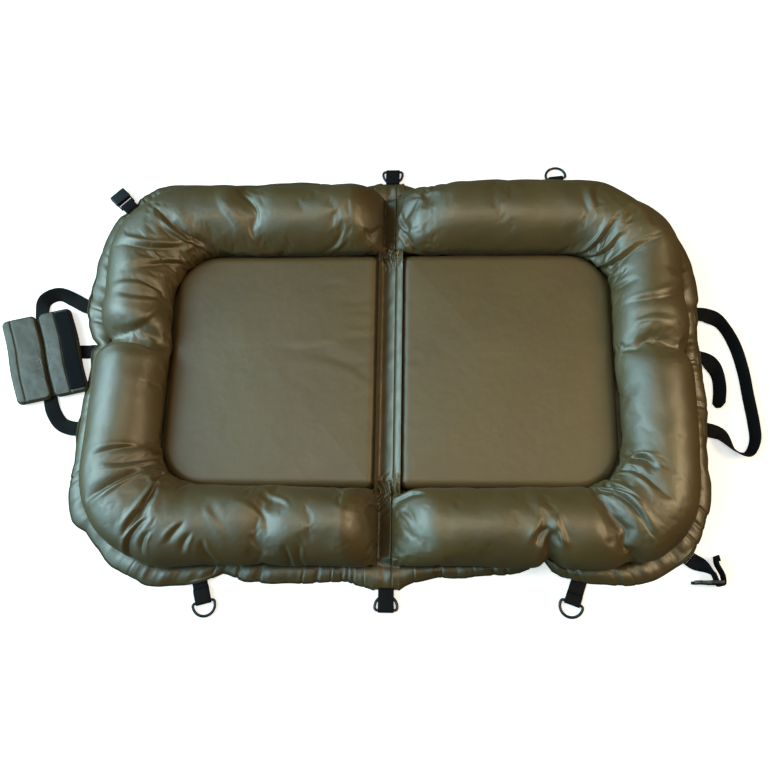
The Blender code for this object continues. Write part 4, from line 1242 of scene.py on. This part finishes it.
left_rear_shares = (
    (0.00, 1.000, 1, 0),
    (0.19, 1.020, 1, 0),
    (0.45, 1.081, 0, 0.25),
    (0.71, 1.119, 0, 1),
    (0.95, 1.072, 0, 1),
)
left_front_shares = (
    (0.54, 0.135, 0, 0.25),
    (0.38, 0.043, 0, 0.25),
    (0.19, 0.007, 1, 0),
    (0.00, 0.000, 1, 0),
)
right_handle_shares = (
    (0.00, 1.000, 1, 0),
    (0.23, 0.978, 1, 0.25),
    (0.52, 0.893, 0, 1),
    (0.77, 0.709, 0, 1),
    (0.90, 0.485, 0, 1),
    (0.95, 0.267, 0, 1),
    (1.00, 0.058, 0, 1),
    (0.99, -0.097, 0, 1),
    (0.80, -0.206, 0, 1),
    (0.51, -0.170, 0, 1),
    (0.26, -0.041, 1, 0.25),
    (0.00, 0.000, 1, 0),
)
tail_shares = (
    (0.00, 0.000, 1, 0),
    (0.48, 0.089, 1, 0.33),
    (0.92, 0.333, 0, 1),
    (1.00, 0.644, 0, 1),
    (0.77, 1.000, 0, 1),
)
under_wrap_shares = (0.55, 0.26, 0, -0.29, -0.50)
POINTED_SHARE = 0.35
LEFT_REAR_Y = 0.118
LEFT_FRONT_Y = -0.104
LEFT_HANDLE_REACH = 0.098
LEFT_HANDLE_LEAN = math.radians(-38)
RIGHT_REAR_Y = 0.104
RIGHT_FRONT_Y = -0.102
RIGHT_HANDLE_REACH = 0.071
RIGHT_HANDLE_LEAN = math.radians(62)
TAIL_Y = 0.024
TAIL_LENGTH = 0.090
TAIL_REACH = 0.023
TAIL_LEAN = math.radians(50)
MID_STRAP_Y = 0.037
MID_STRAP_DOWN = 0.03


def route(shares, side, reach, first_y, last_y, full_lean):
    """A strap's points from its shares: x, y, height of the lower edge, lean."""
    out = SKIRT_X + HINGE_OUT
    seated_height = ON_BINDING - WEB / 2
    points = []
    for away, along, seated, lean in shares:
        x = side * (out + reach * away)
        y = first_y + (last_y - first_y) * along
        points.append((x, y, GAP + (seated_height - GAP) * seated, full_lean * lean))
    return points


def banked_band(name, points, first_half, last_half, look):
    """Webbing that lies flat or leans along a route, and bends up past the skirt's edge."""
    line = smooth_line(points, ROUTE_STEPS)
    plan, low, lean = line[:, :2], np.maximum(line[:, 2], GAP), line[:, 3]
    along = units(np.gradient(plan, axis=0))
    flat = np.cos(lean)[:, None] * np.stack((-along[:, 1], along[:, 0]), axis=1)
    halves = np.column_stack((flat, np.sin(lean))) * WEB_WIDTH / 2
    centres = np.column_stack((plan, low + np.abs(halves[:, 2]) + WEB / 2 * np.cos(lean)))
    for k in range(ROUTE_STEPS):
        share = k / ROUTE_STEPS
        halves[k] = np.array(first_half) * (1 - share) + halves[k] * share
        if last_half is not None:
            halves[-1 - k] = np.array(last_half) * (1 - share) + halves[-1 - k] * share
    if last_half is None:
        for k in range(ROUTE_STEPS // 3):
            halves[-1 - k] *= POINTED_SHARE + (1 - POINTED_SHARE) * 3 * k / ROUTE_STEPS
    made = band(name, centres, halves, look)
    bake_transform(made)
    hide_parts(name)


# D-rings

RING_WIRE = 0.0045
RING_WIDTH = 0.040
RING_DEPTH = 0.0225
RING_ARM = 0.005
RING_CORNER = 0.004
RING_INSET_X = 0.2255
RING_PLACE_X = SKIRT_X - RING_INSET_X
RING_LOOP = RING_WIRE / 2 + GAP + WEB / 2
RING_HEIGHT = GROUND_WEB + RING_LOOP
RING_DROOP = math.asin((RING_HEIGHT - RING_WIRE / 2 - GAP) / RING_DEPTH)
# Tabs: name, x, front or rear, length, lean, folded under, body
ring_tabs = (
    ("front_left", -RING_PLACE_X, -1, 0.034, math.radians(15), False, "left_half"),
    ("front_right", RING_PLACE_X, -1, 0.028, math.radians(-20), False, "right_half"),
    ("rear_right", RING_PLACE_X, 1, 0.017, math.radians(6), False, "right_half"),
    ("centre_front", 0, -1, 0.042, 0, True, "right_half"),
    ("centre_rear", 0, 1, 0.034, 0, True, "right_half"),
)
WIRE_SIDES = 16
RING_STEPS = 48
BAR_STEPS = 12
CORNER_PARTS = 8


def d_ring(name, matrix, body, look):
    """A D-ring of round wire: straight bar on the frame's Y axis, rounded out along +X."""
    half = (RING_WIDTH - RING_WIRE) / 2
    bar = [(0, y) for y in np.linspace(half - RING_CORNER, RING_CORNER - half, BAR_STEPS)[:-1]]
    first = arc(RING_CORNER, RING_CORNER - half, RING_CORNER, math.pi, 1.5 * math.pi, CORNER_PARTS)[:-1]
    bow = arc(0, 0, 1, -math.pi / 2, math.pi / 2, RING_STEPS) * (RING_DEPTH - RING_ARM, half) + (RING_ARM, 0)
    last = arc(RING_CORNER, half - RING_CORNER, RING_CORNER, math.pi / 2, math.pi, CORNER_PARTS)[1:-1]
    line = np.concatenate((bar, first, bow, last))
    along = units(np.roll(line, -1, axis=0) - np.roll(line, 1, axis=0))
    out = np.stack((along[:, 1], -along[:, 0]), axis=1)
    centres = np.column_stack((line, np.zeros(len(line))))
    made = tube(name, centres, out, RING_WIRE / 2, 1, lambda rows: moved(rows, matrix), look)
    add(made, body, "black_plastic", name)


def tabs_and_rings(web, plastic):
    for place, x, end, length, lean, folded, body in ring_tabs:
        matrix = tab_frame(x, end * SKIRT_Y, end * math.pi / 2 + lean)
        bar_out = length - RING_LOOP - WEB / 2
        seat_height, tuck = (ON_STRIP, LOOP_LEAD) if folded else (ON_BINDING, None)
        args = (bar_out, RING_HEIGHT, RING_LOOP, lean, body, web, seat_height, tuck)
        loop_tab(f"ring_tab_{place}", matrix, *args)
        bar = matrix @ Matrix.Translation((bar_out, 0, RING_HEIGHT))
        if folded:
            bar = bar @ Matrix.Rotation(math.pi, 4, "Z")
        d_ring(f"d_ring_{place}", bar @ Matrix.Rotation(RING_DROOP, 4, "Y"), f"ring_{place}", plastic)


# Side-release buckle

BUCKLE_WIDTH = 0.0302
BUCKLE_FRAME = 0.0056
BAR = 0.0042
SOCKET_HEIGHT = 0.0110
FEMALE_TAB = 0.0225
PLUG_OUT_X = 0.0413
PLUG_OUT_Y = 0.0383
STRAP_BEND_X = 0.0092
STRAP_BEND_Y = 0.0130
STRAP_TAIL_X = 0.0030
STRAP_TAIL_Y = 0.0400
STRAP_ENTER = math.radians(199)
STRAP_LEAVE = math.radians(368)
HEM_RETURN = 0.008
BUCKLE_LOOP = math.hypot(BAR / 2, BUCKLE_FRAME / 2) + GAP + WEB / 2 + 0.0001
TWIST_STEPS = 18
END_STEPS = 8
TAIL_WAVER = 0.0018
MOULD_EDGE = 0.0007
MOULD_FLAT = math.radians(2)
MOULD_SHARP = math.radians(35)


def moulded(name, body, look):
    """A moulded piece with softened edges, from its solid."""
    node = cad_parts[name]
    mesh = node.data.copy()
    bm = bmesh.new()
    bm.from_mesh(mesh)
    bmesh.ops.remove_doubles(bm, verts=bm.verts, dist=TINY)
    bmesh.ops.dissolve_limit(bm, angle_limit=MOULD_FLAT, verts=bm.verts, edges=bm.edges)
    bm.to_mesh(mesh)
    bm.free()
    mesh.materials.clear()
    mesh.materials.append(look)
    mesh.shade_smooth()
    made = link(bpy.data.objects.new(f"moulded_{name}", mesh))
    made.matrix_world = node.matrix_world
    edges = made.modifiers.new("edges", "BEVEL")
    edges.width = MOULD_EDGE
    edges.segments = 3
    edges.limit_method = "ANGLE"
    edges.angle_limit = MOULD_SHARP
    made.modifiers.new("flats", "WEIGHTED_NORMAL")
    add(made, body, "black_plastic", name)


def plug_bar():
    return corner_point(1, -1, 0) + Vector((PLUG_OUT_X, -PLUG_OUT_Y, BUCKLE_WIDTH / 2 + GAP))


def buckle_strap_line(bar):
    """Centres and half-widths from the corner, on to the edge, round the bar and out to the folded end."""
    across = Vector((1, 1, 0)).normalized() * WEB_WIDTH / 2
    upright = Vector((0, 0, WEB_WIDTH / 2))
    root = corner_point(1, -1, HINGE_OUT)
    root.z = ON_BINDING
    bend = bar + Vector((-STRAP_BEND_X, STRAP_BEND_Y, 0))
    centres, halves = [], []
    for k in range(TWIST_STEPS + 1):
        share = k / TWIST_STEPS
        turn = math.pi / 2 * float(ease(share))
        point = root.lerp(bend, share)
        point.z = root.z + (bar.z - root.z) * math.sin(turn)
        centres.append(point)
        halves.append(across * math.cos(turn) + upright * math.sin(turn))
    for k in range(LOOP_STEPS + 1):
        turn = STRAP_ENTER + (STRAP_LEAVE - STRAP_ENTER) * k / LOOP_STEPS
        centres.append(bar + Vector((math.cos(turn), math.sin(turn), 0)) * BUCKLE_LOOP)
    tip = bar + Vector((-STRAP_TAIL_X, STRAP_TAIL_Y, WEB_WIDTH / 2 + GAP - bar.z))
    last = centres[-1]
    along = (tip - last).normalized()
    along.z = 0
    aside = Vector((along.y, -along.x, 0))
    for k in range(1, TWIST_STEPS + 1):
        share = k / TWIST_STEPS
        centres.append(last.lerp(tip, share) + aside * TAIL_WAVER * math.sin(math.tau * share))
    radius = (WEB + GAP) / 2
    middle = tip + aside * radius
    for k in range(1, END_STEPS + 1):
        turn = math.pi * k / END_STEPS
        centres.append(middle + (along * math.sin(turn) - aside * math.cos(turn)) * radius)
    centres.append(centres[-1] - along * HEM_RETURN)
    return centres, halves + [upright] * (len(centres) - len(halves))


def buckle(web, plastic):
    matrix = tab_frame(*corner_point(-1, 1, 0).xy, math.radians(135))
    height = SOCKET_HEIGHT / 2 + GAP
    loop_tab("buckle_socket_tab", matrix, FEMALE_TAB, height, BUCKLE_LOOP, 0, "left_half", web, ON_BINDING)
    moulded("buckle_female", "buckle_socket", plastic)
    seat("buckle_strap_seat", tab_frame(*corner_point(1, -1, 0).xy, math.radians(-45)), "right_half", web)
    centres, halves = buckle_strap_line(plug_bar())
    made = band("buckle_strap_web", centres, halves, web)
    add(made, "buckle_strap", "black_webbing", "buckle_strap_web")
    moulded("buckle_male", "buckle_plug", plastic)


# Grip wrap

WRAP_OUT = 0.081
WRAP_PLACE_Y = 0.027
WRAP_TILT = math.radians(13)
WRAP_LENGTH = 0.160
WRAP_INNER = 0.058
WRAP_OUTER = 0.060
WRAP_THICK = 0.0090
WRAP_VALLEY = 0.006
WRAP_CORNER = 0.010
WRAP_ROUND = 0.0035
WRAP_CROWN = 0.0010
WRAP_EDGE_WALL = 0.0045
WRAP_SPINE_WIDTH = 0.016
WRAP_SPINE = 0.0010
WRAP_PIPING = 0.0017
PIPING_HEIGHT = 0.7 * WRAP_EDGE_WALL
PIPING_TALL = 1.3
wrap_wrinkles = ((0.0007, 40, 61), (0.0004, 90, 62))
OUTER_QUILT = 0.016
INNER_QUILT = 0.029
QUILT_DEPTH = 0.0018
QUILT_WIDTH = 0.0016
WRAP_LEAN_SHARE = 0.11
WRAP_BOW = 0.0018
PUCKER_DEPTH = 0.0014
PUCKER_WIDTH = 0.0013
PUCKER_REACH = 0.014
PUCKER_SLANT = 0.25
PUCKERS_Y = (-0.036, -0.022, -0.014, -0.007, 0.001, 0.012)
WRAP_SIDE_PARTS = 40
WRAP_CROWN_STEPS = 44
STRIP_STEPS = 40
TOUCH_STRIP = 0.0015
TOUCH_STRIP_WIDTH = 0.025
TOUCH_STRIP_MARGIN = 0.005
HOOK_MARGIN = 0.0015
HOOK_SEEN_WIDTH = 0.027
STRAP_LAYER = GROUND_WEB + WEB + GAP
WRAP_SPINE_BASE = STRAP_LAYER + WEB / 2 + GAP
WRAP_BASE = WRAP_SPINE_BASE + WRAP_SPINE + GAP
WRAP_TOP = WRAP_BASE + WRAP_THICK


def wrap_frame():
    return Matrix.Translation((-SKIRT_X - WRAP_OUT, WRAP_PLACE_Y, 0)) @ Matrix.Rotation(WRAP_TILT, 4, "Z")


def wrap_place(points):
    """Points of the grip wrap, with its soft lean and bow, in the part's frame."""
    points = np.array(points, float)
    along = points[..., 1] / WRAP_LENGTH
    points[..., 0] -= WRAP_LEAN_SHARE * points[..., 1]
    points[..., 0] += WRAP_BOW * np.sin(math.tau * along) * np.cos(math.pi * along)
    return moved(points.reshape(-1, 3), wrap_frame()).reshape(points.shape)


def wrap_panel(name, low, high, quilt_x, body, look, tape):
    """One padded leaf of the grip wrap, with a quilted line along it and piping round its edge."""
    shape = (low, high, WRAP_LENGTH / 2, WRAP_CORNER, WRAP_CORNER)
    heights = (WRAP_BASE, WRAP_BASE + WRAP_EDGE_WALL, WRAP_TOP)
    points = cushion_points(shape, *heights, WRAP_ROUND, WRAP_CROWN, WRAP_SIDE_PARTS, WRAP_CROWN_STEPS)
    groove = bell((points[..., 0] - quilt_x) / QUILT_WIDTH)
    on_top = ease((points[..., 2] - heights[1]) / (WRAP_TOP - heights[1]))
    from_valley = np.abs(points[..., 0] - high)
    if low > 0:
        from_valley = np.minimum(from_valley, np.abs(points[..., 0] - low))
    puckers = np.zeros(groove.shape)
    for y in PUCKERS_Y:
        slant = points[..., 1] - y - PUCKER_SLANT * points[..., 0]
        puckers += bell(slant / PUCKER_WIDTH) * bell(from_valley / PUCKER_REACH)
    wrinkles = lumps(points, wrap_wrinkles)
    points[..., 2] += on_top * (wrinkles - QUILT_DEPTH * groove - PUCKER_DEPTH * puckers)
    made = capped_mesh(f"cushion_{name}", wrap_place(points), look)
    add(made, body, "pad_nylon", name)
    ring = rounded_ring(*shape, 0, WRAP_SIDE_PARTS)
    out = units(ring - ((low + high) / 2, 0))
    centres = np.column_stack((ring, np.full(len(ring), WRAP_BASE + PIPING_HEIGHT)))
    made = tube(f"piping_{name}", centres, out, WRAP_PIPING, PIPING_TALL, wrap_place, tape)
    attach(made, body)


def wrap_strip(name, low, high, base, thick, body, slot, look):
    """A thin strip along the wrap, with soft edges."""
    length = WRAP_LENGTH - 2 * TOUCH_STRIP_MARGIN
    middle = (low + high) / 2
    line = [(middle, y, base + thick / 2) for y in np.linspace(-length / 2, length / 2, STRIP_STEPS)]
    half = wrap_frame().to_3x3() @ Vector(((high - low) / 2, 0, 0))
    add(band(name, wrap_place(line), half, look, thick), body, slot, name)


def grip_wrap(cloth, hook, tape):
    near = WRAP_VALLEY / 2
    inner, outer = near + WRAP_INNER, -near - WRAP_OUTER
    wrap_panel("wrap_inner_panel", near, inner, near + INNER_QUILT, "left_handle", cloth, tape)
    wrap_panel("wrap_outer_panel", outer, -near, outer + OUTER_QUILT, "wrap_flap", cloth, tape)
    spine = WRAP_SPINE_WIDTH / 2
    args = ("left_handle", "pad_nylon", cloth)
    wrap_strip("wrap_spine", -spine, spine, WRAP_SPINE_BASE, WRAP_SPINE, *args)
    high = inner - HOOK_MARGIN
    args = (TOUCH_STRIP, "left_handle", "hook_and_loop", hook)
    wrap_strip("hook_strip", high - HOOK_SEEN_WIDTH, high, WRAP_TOP + GAP, *args)
    low = outer + TOUCH_STRIP_MARGIN
    args = (WRAP_BASE - GAP - TOUCH_STRIP, TOUCH_STRIP, "wrap_flap", "hook_and_loop", hook)
    wrap_strip("loop_strip", low, low + TOUCH_STRIP_WIDTH, *args)


def left_side_straps(web):
    for place, y in (("rear", LEFT_REAR_Y), ("front", LEFT_FRONT_Y)):
        seat(f"left_handle_seat_{place}", tab_frame(-SKIRT_X, y, math.pi), "left_half", web)
    args = (-1, LEFT_HANDLE_REACH, LEFT_FRONT_Y, LEFT_REAR_Y, LEFT_HANDLE_LEAN)
    under = []
    for share in under_wrap_shares:
        place = wrap_frame() @ Vector((0, share * WRAP_LENGTH, 0))
        under.append((place.x, place.y, STRAP_LAYER - WEB / 2, 0))
    points = route(left_rear_shares, *args) + under + route(left_front_shares, *args)
    half = Vector((0, WEB_WIDTH / 2, 0))
    banked_band("left_handle_web", points, -half, half, web)
    line = [
        (TAB_SEAT - SKIRT_X, MID_STRAP_Y, ON_BINDING),
        (-SKIRT_X, MID_STRAP_Y, ON_BINDING),
        (-SKIRT_X - LIP, MID_STRAP_Y, ON_BINDING),
        (-SKIRT_X - LOOP_LEAD, MID_STRAP_Y, GROUND_WEB),
        (-SKIRT_X - MID_STRAP_DOWN, MID_STRAP_Y, GROUND_WEB),
        (-SKIRT_X - WRAP_OUT, MID_STRAP_Y, GROUND_WEB),
    ]
    line = smooth_line(line, LEAD_STEPS)
    line[:, 2] = np.maximum(line[:, 2], GROUND_WEB)
    add(band("mid_strap_left", line, half, web), "left_half", "black_webbing", "mid_strap_left")


def right_side_straps(web):
    seats = {"handle_seat_rear": RIGHT_REAR_Y, "handle_seat_front": RIGHT_FRONT_Y, "tail_seat": TAIL_Y}
    for place, y in seats.items():
        seat(f"right_{place}", tab_frame(SKIRT_X, y, 0), "right_half", web)
    half = Vector((0, WEB_WIDTH / 2, 0))
    args = (1, RIGHT_HANDLE_REACH, RIGHT_FRONT_Y, RIGHT_REAR_Y, RIGHT_HANDLE_LEAN)
    points = route(right_handle_shares, *args)
    banked_band("right_handle_web", points, half, -half, web)
    points = route(tail_shares, 1, TAIL_REACH, TAIL_Y, TAIL_Y - TAIL_LENGTH, TAIL_LEAN)
    banked_band("right_tail_web", points, half, None, web)


# Stage


def lamp(name, place, target, size, power, colour):
    light = bpy.data.lights.new(name, "AREA")
    light.shape = "RECTANGLE"
    light.size, light.size_y = size
    light.energy = power
    light.color = colour
    made = bpy.data.objects.new(name, light)
    made.location = place
    made.rotation_euler = (Vector(target) - Vector(place)).to_track_quat("-Z", "Y").to_euler()
    link(made)


def floor_look():
    """White to the camera with the object's shadow, and a dim warm floor to everything else."""
    made, tree, shader = new_material("floor")
    seen = tree.nodes.new("ShaderNodeLightPath").outputs["Is Camera Ray"]
    colours = {"Fac": seen, "Color1": (*FLOOR_BOUNCE, 1), "Color2": (*FLOOR_WHITE, 1)}
    inputs = {
        "Base Color": add_node(tree, "ShaderNodeMixRGB", "Color", colours),
        "Roughness": 0.95,
        "Specular IOR Level": 0,
        "Emission Color": (1, 1, 1, 1),
        "Emission Strength": math_node(tree, "MULTIPLY", seen, FLOOR_GLOW),
    }
    set_inputs(tree, shader, inputs)
    return made


def studio():
    scene = bpy.context.scene
    scene.view_settings.view_transform = "Standard"
    world = bpy.data.worlds.new("studio")
    scene.world = world
    world.use_nodes = True
    tree = world.node_tree
    direction, = coordinates(tree, "Generated")
    inputs = {0: direction, 1: SKY_SIDE.normalized()}
    toward = add_node(tree, "ShaderNodeVectorMath", "Value", inputs, operation="DOT_PRODUCT")
    seen = tree.nodes.new("ShaderNodeLightPath").outputs["Is Camera Ray"]
    colours = {"Fac": seen, "Color1": ramp(tree, toward, SKY_STOPS), "Color2": (*BACKDROP, 1)}
    sky = add_node(tree, "ShaderNodeMixRGB", "Color", colours)
    set_inputs(tree, tree.nodes["Background"], {"Color": sky})
    for settings in LAMPS:
        lamp(*settings)
    corners = np.array([[(-1, -1, 0), (1, -1, 0)], [(-1, 1, 0), (1, 1, 0)]])
    floor = grid_mesh("floor", FLOOR_REACH * corners - (0, 0, GAP), floor_look())
    face_up(floor)


def camera():
    data = bpy.data.cameras.new("camera")
    data.lens = FOCAL_PX / FRAME_PX * SENSOR
    data.sensor_width = SENSOR
    made = bpy.data.objects.new("camera", data)
    made.matrix_world = camera_matrix()
    link(made)
    bpy.context.scene.camera = made


def half(label, side, shapes, cloth, pad_cloth, tape):
    """The bolster, pad, skirt and hem of one half."""
    pinches, pulls, creases, pad_creases, seen, straps = shapes
    body = f"{label}_half"
    made = bolster(label, side, pinches, pulls, creases, cloth)
    add(made, body, "coated_nylon", f"bolster_cover_{label}", f"bolster_fill_{label}")
    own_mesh(made)
    made = pad(label, side, pad_creases, pad_cloth)
    add(made, body, "pad_nylon", f"pad_cover_{label}", f"pad_foam_{label}")
    made, rows = skirt(label, side, seen, straps, pulls, cloth)
    edge = hem(label, rows, tape)
    add(edge, body, "binding_tape", f"edge_binding_{label}")
    add(made, body, "coated_nylon", f"ground_sheet_{label}")


# Colours in the light and the dark of each cloth, and its roughness and gloss
BOLSTER_CLOTH = ((0.099, 0.067, 0.015), (0.076, 0.049, 0.010), 0.46, 0.9)
PAD_CLOTH = ((0.108, 0.064, 0.010), (0.094, 0.054, 0.008), 0.52, 0.74)
WRAP_CLOTH = ((0.047, 0.037, 0.018), (0.038, 0.030, 0.014), 0.54, 0.62)
# Colour and ribs to the metre, or roughness
STRAP_LOOK = ((0.005, 0.005, 0.007), 420)
TAPE_LOOK = ((0.075, 0.066, 0.036), 900)
# The plastic is near-black; its blue tint is a painted reflection of the cool sky
PLASTIC_LOOK = ((0.014, 0.018, 0.028), 0.32)
HOOK_COLOUR = (0.006, 0.008, 0.012)


def main():
    camera()
    studio()
    cloth = coated_cloth("coated_nylon", *BOLSTER_CLOTH)
    pad_cloth = coated_cloth("pad_nylon", *PAD_CLOTH)
    wrap_cloth = coated_cloth("wrap_nylon", *WRAP_CLOTH)
    strap = webbing_look("black_webbing", *STRAP_LOOK)
    plastic = plastic_look("black_plastic", *PLASTIC_LOOK)
    hook = hook_look("hook_and_loop", HOOK_COLOUR)
    tape = webbing_look("binding_tape", *TAPE_LOOK)
    right = (right_pinch_shares, RIGHT_PULLS_PX, RIGHT_CREASES_PX, RIGHT_PAD_CREASES_PX)
    left = (left_pinch_shares, LEFT_PULLS_PX, LEFT_CREASES_PX, LEFT_PAD_CREASES_PX)
    half("right", 1, right + (RIGHT_EDGE_PX, RIGHT_STRAPS), cloth, pad_cloth, tape)
    half("left", -1, left + (LEFT_EDGE_PX, LEFT_STRAPS), cloth, pad_cloth, tape)
    made = gutter(cloth)
    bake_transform(made)
    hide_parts("fold_strip")

    tabs_and_rings(strap, plastic)
    buckle(strap, plastic)
    left_side_straps(strap)
    right_side_straps(strap)
    grip_wrap(wrap_cloth, hook, tape)


main()
